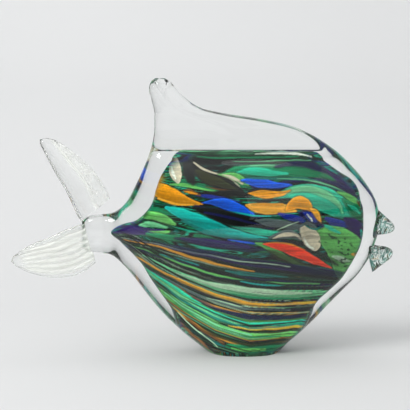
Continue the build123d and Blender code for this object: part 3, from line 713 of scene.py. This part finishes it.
# Canes of the lower streams, lowest first, written as the chips
FAN = [
    ("navy", [(118, 235, 1), (150, 242, 2.2), (200, 252, 3.4), (250, 262, 4), (320, 271, 4), (352, 276, 2)], 1.4),
    ("silver", [(122, 235, 0.4), (150, 241, 0.8), (190, 251, 0.8), (240, 260, 0.6), (290, 266, 0.4)], 0.6),
    ("amethyst", [(130, 236, 0.6), (170, 247, 1.4), (210, 256, 1.6), (255, 266, 1.4), (300, 270, 0.6)], 0.9),
    ("black", [(122, 237, 1), (155, 246, 1.6), (200, 258, 2.4), (250, 268, 2.6), (300, 273, 2), (345, 279, 1)], 1.0),
    ("amber", [(124, 237, 0.4), (158, 245, 0.9), (190, 256, 1.4), (225, 266, 1.6), (254, 271, 0.5)], 0.6),
    ("silver", [(140, 243, 0.3), (172, 253, 0.5), (205, 263, 0.6), (246, 271, 0.4)], 0.5),
    ("forest", [(124, 240, 1), (160, 252, 2.4), (205, 267, 3.4), (250, 275, 3.4), (300, 279, 3), (345, 282, 2)], 1.4),
    ("aqua", [(158, 252, 0.4), (180, 259, 1.4), (198, 265, 0.6)], 0.8),
    ("teal", [(225, 270, 0.6), (243, 273, 2.2), (266, 275, 1.8), (288, 276, 0.5)], 1.2),
    ("cobalt", [(176, 259, 0.3), (188, 263, 0.9), (202, 267, 0.3)], 0.7),
    ("navy", [(130, 244, 1), (165, 257, 2), (205, 271, 2.6), (250, 279, 2.6), (330, 285, 2.4)], 1.4),
    ("lime", [(134, 244, 0.4), (175, 260, 0.8), (215, 274, 0.9), (262, 281, 0.7), (320, 283, 0.5)], 0.6),
    ("black", [(130, 246, 1), (165, 263, 1.6), (205, 277, 2), (250, 284, 1.6), (330, 288, 1.4)], 1.0),
    ("aqua", [(240, 281, 0.4), (262, 284, 1.0), (284, 284, 0.4)], 0.8),
    ("mint", [(142, 253, 0.5), (176, 270, 1.6), (205, 283, 3.6), (245, 291, 5), (290, 294, 4.6), (330, 292, 2)], 1.2),
    ("silver", [(176, 271, 0.5), (206, 282, 1.8), (242, 289, 3), (280, 292, 2.6), (312, 293, 0.8)], 1.4),
    ("emerald", [(170, 274, 0.4), (205, 289, 0.9), (245, 296, 1.2), (290, 299, 1.0), (325, 298, 0.5)], 0.7),
    ("amber", [
        (128, 249, 0.5), (158, 267, 1.0), (198, 288, 1.8),
        (245, 302, 2.2), (280, 304, 1.6), (325, 302, 0.7),
    ], 0.6),
    ("black", [(132, 255, 1), (165, 275, 2), (200, 293, 3.4), (250, 308, 3.4), (322, 309, 2.6)], 1.0),
    ("slate", [(146, 265, 0.5), (190, 291, 1.2), (235, 306, 1.2), (290, 310, 0.6)], 0.7),
    ("silver", [(206, 297, 0.3), (240, 305, 0.7), (284, 308, 0.5)], 0.5),
    ("amber", [(172, 283, 0.4), (205, 302, 0.9), (250, 312, 1.3), (285, 314, 1.6), (316, 312, 0.8)], 0.6),
    ("navy", [(136, 260, 1), (165, 281, 2), (205, 304, 2.6), (250, 316, 2.6), (318, 317, 2)], 1.0),
    ("black", [(166, 287, 1), (205, 309, 1.5), (250, 321, 1.5), (316, 320, 1)], 0.8),
    ("jade", [(140, 262, 1.2), (165, 282, 3), (205, 309, 4), (245, 324, 3.6), (285, 324, 3), (314, 320, 1.6)], 1.0),
    ("mint", [(150, 271, 0.5), (180, 294, 1.2), (215, 315, 1.3), (250, 325, 0.8)], 1.0),
    ("black", [(158, 281, 0.4), (190, 304, 0.7), (222, 321, 0.8), (262, 326, 0.5)], 0.6),
    ("forest", [(148, 278, 1), (180, 300, 2.4), (215, 321, 3), (250, 330, 2.6), (305, 327, 2.2)], 1.2),
    ("amber", [(228, 324, 0.4), (250, 328, 1.1), (280, 328, 1.7), (302, 326, 0.9)], 0.7),
    ("lime", [(154, 284, 1), (180, 303, 3.4), (210, 322, 4.4), (240, 334, 4), (270, 336, 3), (296, 333, 1.6)], 1.0),
    ("mint", [(165, 291, 0.5), (190, 309, 1.8), (220, 327, 2), (250, 335, 1.3)], 1.2),
    ("emerald", [(176, 302, 0.4), (206, 322, 0.8), (240, 335, 0.9), (280, 336, 0.5)], 0.6),
    ("black", [(158, 292, 1), (185, 313, 2.2), (215, 333, 2.6), (245, 341, 2.2), (290, 340, 1.8)], 0.9),
    ("amber", [(168, 301, 0.6), (190, 319, 1.2), (215, 336, 1.3), (250, 345, 1.6), (287, 342, 1)], 0.7),
    ("brown", [(176, 305, 1), (198, 326, 1.4), (222, 343, 1.2)], 1.0),
    ("black", [(172, 309, 1), (190, 327, 1.8), (210, 345, 2)], 0.9),
    ("silver", [(178, 311, 0.4), (196, 329, 0.7), (216, 346, 0.5)], 0.6),
    ("brown", [(180, 319, 0.8), (194, 335, 1.2), (208, 349, 1.0)], 0.8),
    ("emerald", [(226, 345, 2), (248, 348, 4), (270, 348, 4), (285, 345, 2)], 1.8),
    ("lime", [(230, 347, 0.8), (246, 349, 1.6), (264, 350, 1.2)], 1.2),
]

# Glass bands of the ground between the chips, above and in the fan: top value, glass
GROUND = [
    (-0.52, "navy"), (-0.34, "black"), (-0.22, "forest"), (-0.10, "emerald"), (0.04, "black"), (0.12, "teal"),
    (0.26, "forest"), (0.34, "jade"), (0.48, "black"), (1.0, "emerald"),
]
FAN_GROUND = [
    (-0.46, "black"), (-0.34, "navy"), (-0.28, "silver"), (-0.18, "forest"), (-0.12, "amethyst"), (-0.02, "black"),
    (0.03, "lime"), (0.14, "forest"), (0.18, "amber"), (0.30, "black"), (0.35, "aqua"), (0.46, "emerald"),
    (1.0, "black"),
]
# The narrow edge of the core, seen through the rim
EDGE_GROUND = [
    (-0.45, "black"), (-0.30, "emerald"), (-0.22, "mint"), (-0.05, "forest"), (0.08, "teal"), (0.16, "blue"),
    (0.30, "black"), (0.42, "jade"), (1.0, "forest"),
]

# Fine canes: glasses, of which black comes three times as often, and half widths across the streams
THREAD_GLASS = ["black", "black", "black", "silver", "lime", "amber", "navy", "mint", "aqua", "forest"]
THREAD_WIDTHS = [0.05, 0.07, 0.11]
THREADS_UNDER, THREADS_OVER = 46, 26
# Where across the streams the fan begins, down to which row the crown reaches, and the rows over
# which the fan's glass is painted lighter, as painted light for the dimly lit lower flank, and by how much
FAN_BEGIN, CROWN_END, PAINTED_LIGHT_ROWS, PAINTED_LIGHT = (4.2, 4.9), (156, 160), (255, 335), 0.75
# A chip below this row that is darker than this lets the ground show through
CANE_ROW, DARK_GLASS, DARK_CANE = 234, 0.25, 0.7
# The patch of dark frit on the cheek, written as a chip
FRIT = [(318, 236, 4), (338, 246, 12), (350, 262, 10)]
# The glass of a chip on the far flank in the place of the near one's
FAR_GLASS = {
    "orange": "cobalt",
    "cobalt": "orange",
    "aqua": "amethyst",
    "amethyst": "jade",
    "jade": "aqua",
    "emerald": "blue",
    "red": "lime",
    "lime": "emerald",
    "navy": "forest",
}


def bands(value, glasses, stops):
    """Glass at each place, from a value and each band's top value and glass."""
    places, shades, low = [], [], -9.0
    for high, glass in stops:
        shade = PALETTE[glasses.get(glass, glass)]
        places += [low + 0.015, high - 0.015]
        shades += [shade, shade]
        low = high
    return np.stack([np.interp(value, places, channel) for channel in np.array(shades).T], -1)


def smooth_line(line):
    """The line with more points, on a smooth curve through its own."""
    rows = np.array([(k, *point) for k, point in enumerate(line)], float)
    return curve(rows, np.linspace(0, len(line) - 1, 5 * (len(line) - 1) + 1)).T


def chip_depth(px, py, line):
    """How far inside a chip's outline each place lies, and where across it: -1 above, 1 below."""
    depth, side = np.full(px.shape, -9.0), np.zeros(px.shape)
    for (x0, y0, w0), (x1, y1, w1) in zip(line, line[1:]):
        ux, uy = x1 - x0, y1 - y0
        t = np.clip(((px - x0) * ux + (py - y0) * uy) / (ux * ux + uy * uy), 0, 1)
        wide = np.maximum(w0 + (w1 - w0) * t, 0.2)
        here = wide - np.hypot(px - x0 - t * ux, py - y0 - t * uy)
        turned = ((py - y0) * ux - (px - x0) * uy) / (math.hypot(ux, uy) * wide)
        side = np.where(here > depth, turned, side)
        depth = np.maximum(depth, here)
    return depth, np.clip(side, -1, 1)


def threads(base, px, across, glasses, count, seed):
    """Draws fine canes of the fan over the colours in base."""
    random, drift = np.random.default_rng(40 + seed), Noise(83 + seed)
    wave = across + 0.16 * drift.layers(px / 90, across * 0.6, 2)
    for _ in range(count):
        middle, wide = random.uniform(4.7, 14.6), random.choice(THREAD_WIDTHS)
        glass = random.choice(THREAD_GLASS)
        begin = random.uniform(95, 200)
        end = begin + random.uniform(90, 230)
        mask = (1 - smooth_step(wide * 0.6, wide * 1.3, np.abs(wave - middle))) * smooth_step(begin, begin + 20, px)
        mask = (mask * (1 - smooth_step(end - 30, end, px)))[..., None] * 0.9
        base += (np.array(PALETTE[glasses.get(glass, glass)]) - base) * mask


def paint(px, py, across, shift, glasses):
    """Colour of each place of a flank. across is the place across the streams."""
    warp, fine, streak = Noise(11 + shift), Noise(23 + shift), Noise(37 + shift)
    wx = px + 1.6 * warp.layers(px / 40 + 9, py / 18, 2)
    wy = py + 1.0 * warp.layers(px / 34, py / 13 + 30, 2) + 0.35 * fine(px / 12, py / 4)
    lines = streak.layers(px / 70 + 2, across * 4.0, 3)
    thin = streak.layers(px / 110 + 50, across * 9.0, 2)
    hair = fine.layers(px / 80 + 11, across * 17.0 + 4, 2)
    below = smooth_step(*FAN_BEGIN, across)[..., None]
    crown = (1 - smooth_step(*CROWN_END, py))[..., None]
    base = bands(lines, glasses, GROUND)
    fan = bands(streak.layers(px / 120 + 31, across * 6.5, 3), glasses, FAN_GROUND)
    base = base + (fan - base) * below
    lit = bands(fine.layers(px / 45 + 70, py / 1.3, 2), glasses, EDGE_GROUND)
    base = base + (lit - base) * crown * 0.8
    ragged = 0.45 * fine.layers(px / 8, across * 14.0, 2) + 0.35 * thin
    threads(base, px, across, glasses, THREADS_UNDER, shift)
    # painted light: the lower flank's colours grow lighter toward the foot
    painted_light = 1 + PAINTED_LIGHT * smooth_step(*PAINTED_LIGHT_ROWS, py)
    for glass, line, soft in CHIPS + FAN:
        line = smooth_line(line)
        low, high = line.min(0), line.max(0)
        reach = high[2] + 5
        at = (wx > low[0] - reach) & (wx < high[0] + reach) & (wy > low[1] - reach) & (wy < high[1] + reach)
        depth, side = chip_depth(wx[at], wy[at], line)
        depth = depth + ragged[at] * min(1.0, high[2] / 2.5)
        shade = np.array(PALETTE[glasses.get(glass, glass)])
        pale = glass in ("cream", "white", "silver")
        bold = min(1.0, high[2] / 4) * (0.5 if pale else 1.0)
        # painted shade: the ground is darkened in a band round each chip's outline
        painted_shade_round = smooth_step(-1.6, -0.2, depth) * 0.45 * bold
        streaks = 0.30 * lines[at] + 0.24 * thin[at] + 0.14 * hair[at]
        # painted highlight: a bright band just inside each chip's outline, a little whitened
        edge = np.exp(-(((depth - 0.5) / 0.6) ** 2)) * 0.35 * bold
        # painted shading: each chip is lighter along its upper side and darker along its lower side, as if lit from
        # above
        tone = 1 - 0.26 * side * bold + streaks * (0.3 if pale else 1.0) + edge
        colour = shade * (np.clip(tone, 0.5, 1.6) * painted_light[at])[:, None] + edge[:, None] * 0.06
        mask = smooth_step(-soft / 2, soft / 2, depth)[:, None]
        if line[0][1] > CANE_ROW and sum(shade) < DARK_GLASS:
            mask = mask * DARK_CANE
        there = base[at] * (1 - painted_shade_round[:, None])
        base[at] = there + (colour - there) * mask
    threads(base, px, across, glasses, THREADS_OVER, shift + 7)
    # dark frit in the cheek's lime, and threads over everything
    frit = fine.layers(px / 3.2, py / 1.7 - px / 9, 1)
    cheek = smooth_step(-1, 3, chip_depth(wx, wy, smooth_line(FRIT))[0])
    dark = (smooth_step(0.42, 0.60, frit) * cheek)[..., None]
    base = base + (np.array(PALETTE["forest"]) - base) * dark * 0.85
    mask = smooth_step(0.50, 0.60, hair)[..., None] * (0.12 + 0.22 * below)
    base = base + (np.array(PALETTE["mint"]) * 0.8 - base) * mask
    mask = smooth_step(0.42, 0.52, -hair)[..., None] * (0.30 + 0.35 * below)
    base = base + (np.array(PALETTE["black"]) - base) * mask
    return np.clip(base, 0, 1)


def colour_points():
    """Grid of the colour layer's outer surface, foot to crown, with its closing rows."""
    turn = np.linspace(0, 2 * np.pi, COLOUR_COLUMNS, endpoint=False)
    heights = np.linspace(COLOUR_FOOT, COLOUR_FOOT + COLOUR_HEIGHT, COLOUR_ROWS)
    heights[0] -= FOOT_SKIRT
    closing = [0.0, 0.2, 0.4, 0.6, 0.8]
    scale = np.array(closing + [1.0] * COLOUR_ROWS + closing[::-1])
    heights = np.concatenate([[heights[0]] * len(closing), heights, [heights[-1]] * len(closing)])
    tail, nose, half = (v[:, None] for v in curve(COLOUR_SLICES, heights))
    middle, reach = (nose - tail) / 2, (nose + tail) / 2
    s = scale[:, None]
    x = middle + s * reach * np.cos(turn)
    y = s * half * np.sin(turn) * np.maximum(s, 0.02)
    z = np.broadcast_to(heights[:, None], x.shape)
    rise = CROWN_RISE + CROWN_RAGGED * Noise(83).layers(x / 7.0, y / 5.0, 3)
    top = COLOUR_FOOT + COLOUR_HEIGHT
    z = z + rise * smooth_step(top - 4, top, z)
    return np.stack([x, y, z], -1)


def chip_of(stream, x, z, side):
    """Name of the chip at each place of an upper stream."""
    table = (NEAR_CHIPS if side < 0 else FAR_CHIPS)[stream]
    names, starts = list(table), np.array(list(table.values()))
    places = starts * BODY_LENGTH
    above = STREAM_HEIGHTS[stream - 1] if stream else np.full(len(STREAM_PLACES), COLOUR_FOOT + COLOUR_HEIGHT)
    middles = (np.interp(places, STREAM_PLACES, above) + np.interp(places, STREAM_PLACES, STREAM_HEIGHTS[stream])) / 2
    chip = np.zeros(x.shape, int)
    for k in range(1, len(names)):
        chip = np.where(x > places[k] - (z - middles[k]) / math.tan(CHIP_LEAN), k, chip)
    return np.array(names, object)[chip]


def face_nodes(x, y, z):
    """Name of the node that each face of the colour layer belongs to."""
    heights = np.array([np.interp(x, STREAM_PLACES, row) for row in STREAM_HEIGHTS])
    stream = (z[None] < heights).sum(0)
    names = np.full(x.shape, "", object)
    upper = len(NEAR_CHIPS)
    for side, prefix in ((-1, ""), (1, "far_")):
        here = (y < 0) if side < 0 else (y >= 0)
        for k in range(upper):
            at = here & (stream == k)
            names[at] = chip_of(k, x[at], z[at], side)
        for node, (half_long, half_high, rise) in reversed(EYE_CHIPS.items()):
            gap = ((x - EYE[0]) / half_long) ** 2 + ((z - EYE[1] - rise) / half_high) ** 2
            names[here & (gap < 1) & (stream > 0)] = prefix + node
    for k, node in enumerate(CANES):
        names[stream == upper + k] = node
    return names


# At the top of the tail end an orange streak runs over the seam: heights, and reach to the tail
FLAME_BEGIN, FLAME_END, FLAME_REACH, FLAME = (71, 75), (82, 86), (20, 30), 0.6
# Half the width across which the two flanks meet, and the seam between them: reach and cover
MEETING, SEAM_REACH, SEAM = 1.5, (0.8, 4.2), 0.85


def colour_layer():
    """The painted colour layer, one object for each node of it."""
    points = colour_points()
    rows, columns, _ = points.shape
    flat = points.reshape(-1, 3)
    x, y, z = flat.T
    across = stream_place(x, z)
    px, py = flank_place(x, z)
    near = paint(px, py, across, 0, {})
    far = paint(px, py, across, 1, FAR_GLASS)
    front = smooth_step(-MEETING, MEETING, -y)[:, None]
    colour = near * front + far * (1 - front)
    edge = bands(Noise(53).layers(z / 4.0 + 3, y / 7.0 + z / 30.0, 3), {}, EDGE_GROUND)
    flame = smooth_step(*FLAME_BEGIN, z) * (1 - smooth_step(*FLAME_END, z)) * smooth_step(*FLAME_REACH, -x)
    edge += (np.array(PALETTE["orange"]) - edge) * flame[:, None] * FLAME
    jitter = 1.2 * Noise(59).layers(z / 5.0, x / 9.0, 2)
    colour += (edge - colour) * (1 - smooth_step(*SEAM_REACH, np.abs(y) + jitter))[:, None] * SEAM
    faces = grid_faces(rows, columns)
    centres = flat[faces].mean(1)
    names = face_nodes(*centres.T)
    material = painted_glass()
    for node in sorted(set(names)):
        own = faces[names == node]
        used, index = np.unique(own, return_inverse=True)
        obj = make_mesh(node + "_skin", flat[used], index.reshape(-1, 4).tolist())
        layer = obj.data.color_attributes.new("Paint", "FLOAT_COLOR", "POINT")
        layer.data.foreach_set("color", np.concatenate([colour[used], np.ones((len(used), 1))], 1).ravel())
        for name, value in (("Across", across), ("Seen", px)):
            attribute = obj.data.attributes.new(name, "FLOAT", "POINT")
            attribute.data.foreach_set("value", value[used])
        dress(obj, node, material)


# Materials

GLASS_IOR = 1.5
BUMP_DISTANCE = 0.002


def new_material(name):
    """A material with an empty node tree, its tree and its output."""
    material = bpy.data.materials.new(name)
    material.use_nodes = True
    tree = material.node_tree
    tree.nodes.clear()
    return material, tree, tree.nodes.new("ShaderNodeOutputMaterial").inputs["Surface"]


def add(tree, kind, inputs=(), **settings):
    """A node with its settings and inputs; an input is a value or another node's output."""
    node = tree.nodes.new(kind)
    for name, value in settings.items():
        setattr(node, name, value)
    for name, value in dict(inputs).items():
        if isinstance(value, bpy.types.NodeSocket):
            tree.links.new(value, node.inputs[name])
        else:
            node.inputs[name].default_value = value
    return node


def object_place(tree):
    """The place on the object."""
    return add(tree, "ShaderNodeTexCoord").outputs["Object"]


def noise(tree, place, scale, detail, **more):
    """Noise at a place."""
    inputs = {"Vector": place, "Scale": scale, "Detail": detail, **more}
    return add(tree, "ShaderNodeTexNoise", inputs).outputs["Fac"]


def mapped(tree, value, low, high, to_low, to_high):
    """A value moved from one range to another."""
    return add(tree, "ShaderNodeMapRange", {
        "Value": value, "From Min": low, "From Max": high, "To Min": to_low, "To Max": to_high,
    }).outputs["Result"]


def times(tree, a, b, **settings):
    """The product of two values."""
    return add(tree, "ShaderNodeMath", {0: a, 1: b}, operation="MULTIPLY", **settings).outputs[0]


def bumped(tree, height, strength):
    """The normal of a surface with bumps of a height."""
    inputs = {"Height": height, "Strength": strength, "Distance": BUMP_DISTANCE}
    return add(tree, "ShaderNodeBump", inputs).outputs["Normal"]


def mixed(tree, share, first, second):
    """The first shader, and a share of the second."""
    mix = add(tree, "ShaderNodeMixShader", {0: share})
    tree.links.new(first, mix.inputs[1])
    tree.links.new(second, mix.inputs[2])
    return mix.outputs[0]


def glass_shader(tree, colour, roughness, normal):
    """Solid clear glass."""
    return add(tree, "ShaderNodeBsdfPrincipled", {
        "Base Color": colour,
        "Roughness": roughness,
        "IOR": GLASS_IOR,
        "Transmission Weight": 1.0,
        "Normal": normal,
    }).outputs[0]


def lit_through(tree, glass, shade):
    """The glass, which lets the lamps through to what is inside, dimmed by a shade."""
    through = add(tree, "ShaderNodeBsdfTransparent", {"Color": (*shade, 1)}).outputs[0]
    return mixed(tree, add(tree, "ShaderNodeLightPath").outputs["Is Shadow Ray"], glass, through)


def clear_glass(name, tint, roughness, bump, bump_scale):
    """Clear glass with faint ripples."""
    material, tree, surface = new_material(name)
    ripples = noise(tree, object_place(tree), bump_scale, 2.0)
    glass = glass_shader(tree, (*tint, 1), roughness, bumped(tree, ripples, bump))
    tree.links.new(lit_through(tree, glass, (0.9, 0.92, 0.91)), surface)
    return material


def frost_and_sheen_glass(name, angle):
    """Clear glass whitened by its Frost attribute, in streaks along an angle: frost, and painted sheen of the ribs."""
    material, tree, surface = new_material(name)
    place = object_place(tree)
    turn = math.radians(angle)
    along, wide = (
        add(tree, "ShaderNodeVectorMath", {0: place, 1: axis}, operation="DOT_PRODUCT").outputs["Value"]
        for axis in ((math.cos(turn), 0, math.sin(turn)), (math.sin(turn), 0, -math.cos(turn)))
    )
    scaled = {"X": times(tree, along, 45.0), "Y": times(tree, wide, 520.0)}
    streaks = noise(tree, add(tree, "ShaderNodeCombineXYZ", scaled).outputs[0], 1.0, 3.0)
    normal = bumped(tree, streaks, 0.12)
    glass = glass_shader(tree, (0.99, 1.0, 0.99, 1), 0.03, normal)
    # a white surface: frost, and painted sheen standing in for the ribs' reflections
    frost_and_sheen = add(tree, "ShaderNodeBsdfPrincipled", {
        "Base Color": (0.97, 0.98, 0.93, 1), "Roughness": 0.45, "Normal": normal,
    }).outputs[0]
    drawn_on = mapped(tree, streaks, 0.35, 0.62, 0.35, 1.0)
    frost_and_sheen_share = add(tree, "ShaderNodeAttribute", attribute_name="Frost").outputs["Fac"]
    cover = times(tree, drawn_on, frost_and_sheen_share, use_clamp=True)
    both = mixed(tree, cover, glass, frost_and_sheen)
    tree.links.new(lit_through(tree, both, (0.85, 0.87, 0.86)), surface)
    return material


def folded_glass():
    """Clear glass of the lips, with green and amber streaks folded in, and dark streaks that are painted shade along
    the folds.
    """
    material, tree, surface = new_material("lip_glass")
    swirl = noise(tree, object_place(tree), 130.0, 2.5, Distortion=1.6)
    streaks = add(tree, "ShaderNodeValToRGB", {"Fac": swirl})
    # the two near-black tints are painted shade for the dark curling lines of the folds
    glasses = [
        (0.30, (0.02, 0.07, 0.06)), (0.38, (0.10, 0.36, 0.30)), (0.44, (0.93, 0.98, 0.95)), (0.50, (0.97, 0.99, 0.97)),
        (0.535, (0.12, 0.33, 0.27)), (0.56, (0.03, 0.10, 0.08)), (0.60, (0.90, 0.97, 0.92)), (0.68, (0.62, 0.40, 0.16)),
    ]
    stops = streaks.color_ramp.elements
    while len(stops) < len(glasses):
        stops.new(0.5)
    for element, (stop, tint) in zip(stops, glasses):
        element.position = stop
        element.color = (*tint, 1)
    glass = glass_shader(tree, streaks.outputs["Color"], 0.0, bumped(tree, swirl, 0.1))
    tree.links.new(lit_through(tree, glass, (0.8, 0.85, 0.82)), surface)
    return material


def painted_glass():
    """Coloured glass in streaks, with frit grain and thin threads drawn along the streams."""
    material, tree, surface = new_material("painted_glass")
    paint_colour = add(tree, "ShaderNodeAttribute", attribute_name="Paint").outputs["Color"]
    across = add(tree, "ShaderNodeAttribute", attribute_name="Across").outputs["Fac"]
    seen = add(tree, "ShaderNodeAttribute", attribute_name="Seen").outputs["Fac"]
    scaled = {"X": times(tree, seen, 0.02), "Y": times(tree, across, 9.0)}
    drawn = noise(tree, add(tree, "ShaderNodeCombineXYZ", scaled).outputs[0], 2.2, 4.0, Roughness=0.65)
    tone = mapped(tree, drawn, 0.3, 0.7, 0.80, 1.36)
    speck = mapped(tree, noise(tree, object_place(tree), 900.0, 2.0), 0.35, 0.7, 0.9, 1.1)
    deeper = add(tree, "ShaderNodeGamma", {"Color": paint_colour, "Gamma": 1.22}).outputs["Color"]
    colour = add(tree, "ShaderNodeVectorMath", {0: deeper, "Scale": times(tree, tone, speck)}, operation="SCALE")
    shader = add(tree, "ShaderNodeBsdfPrincipled", {
        "Base Color": colour.outputs[0],
        "Roughness": 0.35,
        "Specular IOR Level": 0.1,
    })
    tree.links.new(shader.outputs[0], surface)
    return material


def pale_paper():
    """Pale paper, painted lighter toward the back and the left as painted light."""
    material, tree, surface = new_material("pale_paper")
    place = object_place(tree)
    axes = add(tree, "ShaderNodeSeparateXYZ", {"Vector": place}).outputs
    painted_light_back = mapped(tree, axes["Y"], 0.1, 1.5, 0.675, 0.90)
    # painted light: a little lighter toward the left, the key lamp's side
    side = mapped(tree, axes["X"], -0.15, 0.15, 1.01, 0.97)
    tooth = mapped(tree, noise(tree, place, 700.0, 3.0), 0.0, 1.0, 0.99, 1.01)
    tone = times(tree, times(tree, painted_light_back, side), tooth)
    paper = add(tree, "ShaderNodeCombineColor", {"Red": tone, "Green": tone, "Blue": tone}).outputs[0]
    tree.links.new(add(tree, "ShaderNodeBsdfDiffuse", {"Color": paper}).outputs[0], surface)
    return material


# Build

dress(clear_skin(), "clear_casing", clear_glass("casing_glass", (0.985, 0.995, 0.99), 0.0, 0.02, 45.0))
colour_layer()
tail_and_lips()
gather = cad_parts["core_gather"]
gather.data.materials.clear()
gather.data.materials.append(clear_glass("gather_glass", (0.8, 0.9, 0.85), 0.05, 0.02, 45.0))


# Stage, light and camera

SWEEP_FRONT, SWEEP_BACK, SWEEP_RADIUS, SWEEP_TOP, SWEEP_HALF = -2400.0, 1600.0, 500.0, 2400.0, 2600.0
SWEEP_STEPS = 12
# Lamps: place, target, width, height, in metres, and power
LAMPS = {
    "key": ((-1.05, -0.75, 1.3), (0.0, 0.0, 0.05), 0.75, 0.75, 16.0),
    "front": ((0.52, -1.42, 0.55), (0.0, 0.0, 0.06), 1.2, 0.8, 2.2),
    "over": ((0.1, 0.35, 1.5), (0.0, 0.25, 0.1), 1.6, 1.2, 6.0),
}
CAMERA_ELEVATION, CAMERA_DISTANCE, CAMERA_SENSOR, CAMERA_END = math.radians(10.0), 950.0, 36.0, 20.0


def backdrop():
    """A pale floor that sweeps up into a wall behind the fish."""
    profile = [(SWEEP_FRONT, 0.0), (0.0, 0.0), (SWEEP_BACK - SWEEP_RADIUS, 0.0)]
    for k in range(1, SWEEP_STEPS + 1):
        turn = math.pi / 2 * k / SWEEP_STEPS
        profile.append((
            SWEEP_BACK - SWEEP_RADIUS + SWEEP_RADIUS * math.sin(turn),
            SWEEP_RADIUS * (1 - math.cos(turn)),
        ))
    profile.append((SWEEP_BACK, SWEEP_TOP))
    points = [(x, y, z) for y, z in profile for x in (-SWEEP_HALF, SWEEP_HALF)]
    obj = make_mesh("backdrop", points, grid_faces(len(profile), 2, closed=False).tolist())
    obj.data.materials.append(pale_paper())


def area_lamp(name, place, target, width, height, power):
    """A soft rectangular lamp pointed at a place; sizes in metres."""
    lamp = bpy.data.lights.new(name, "AREA")
    lamp.shape = "RECTANGLE"
    lamp.size, lamp.size_y, lamp.energy = width, height, power
    obj = bpy.data.objects.new(name, lamp)
    bpy.context.scene.collection.objects.link(obj)
    obj.location = place
    obj.rotation_euler = (Vector(target) - Vector(place)).to_track_quat("-Z", "Y").to_euler()


def camera():
    """The photograph's view: from 10 degrees above, square on to the near flank."""
    middle = PICTURE_SIDE / 2
    aim = Vector((
        (middle - PICTURE_ORIGIN[0]) * PIXEL,
        0.0,
        (PICTURE_ORIGIN[1] - middle) * PIXEL / math.cos(CAMERA_ELEVATION),
    ))
    data = bpy.data.cameras.new("camera")
    data.sensor_width = CAMERA_SENSOR
    data.lens = CAMERA_SENSOR * CAMERA_DISTANCE / (PICTURE_SIDE * PIXEL)
    data.clip_end = CAMERA_END
    obj = bpy.data.objects.new("camera", data)
    back = Vector((0.0, -math.cos(CAMERA_ELEVATION), math.sin(CAMERA_ELEVATION)))
    obj.location = (aim + back * CAMERA_DISTANCE) * MM
    obj.rotation_euler = (-back).to_track_quat("-Z", "Y").to_euler()
    bpy.context.scene.collection.objects.link(obj)
    bpy.context.scene.camera = obj


def surroundings():
    """A studio that is bright overhead and dark round about, so that glass edges draw dark."""
    world = bpy.data.worlds.new("studio")
    bpy.context.scene.world = world
    world.use_nodes = True
    tree = world.node_tree
    direction = add(tree, "ShaderNodeTexCoord").outputs["Generated"]
    up = add(tree, "ShaderNodeSeparateXYZ", {"Vector": direction}).outputs["Z"]
    level = mapped(tree, up, 0.15, 0.6, 0.06, 0.75)
    sky = tree.nodes["Background"]
    sky.inputs["Color"].default_value = (0.97, 0.99, 1.0, 1)
    tree.links.new(level, sky.inputs["Strength"])


backdrop()
for name, lamp in LAMPS.items():
    area_lamp(name, *lamp)
surroundings()
camera()
bpy.context.scene.view_settings.view_transform = "Standard"
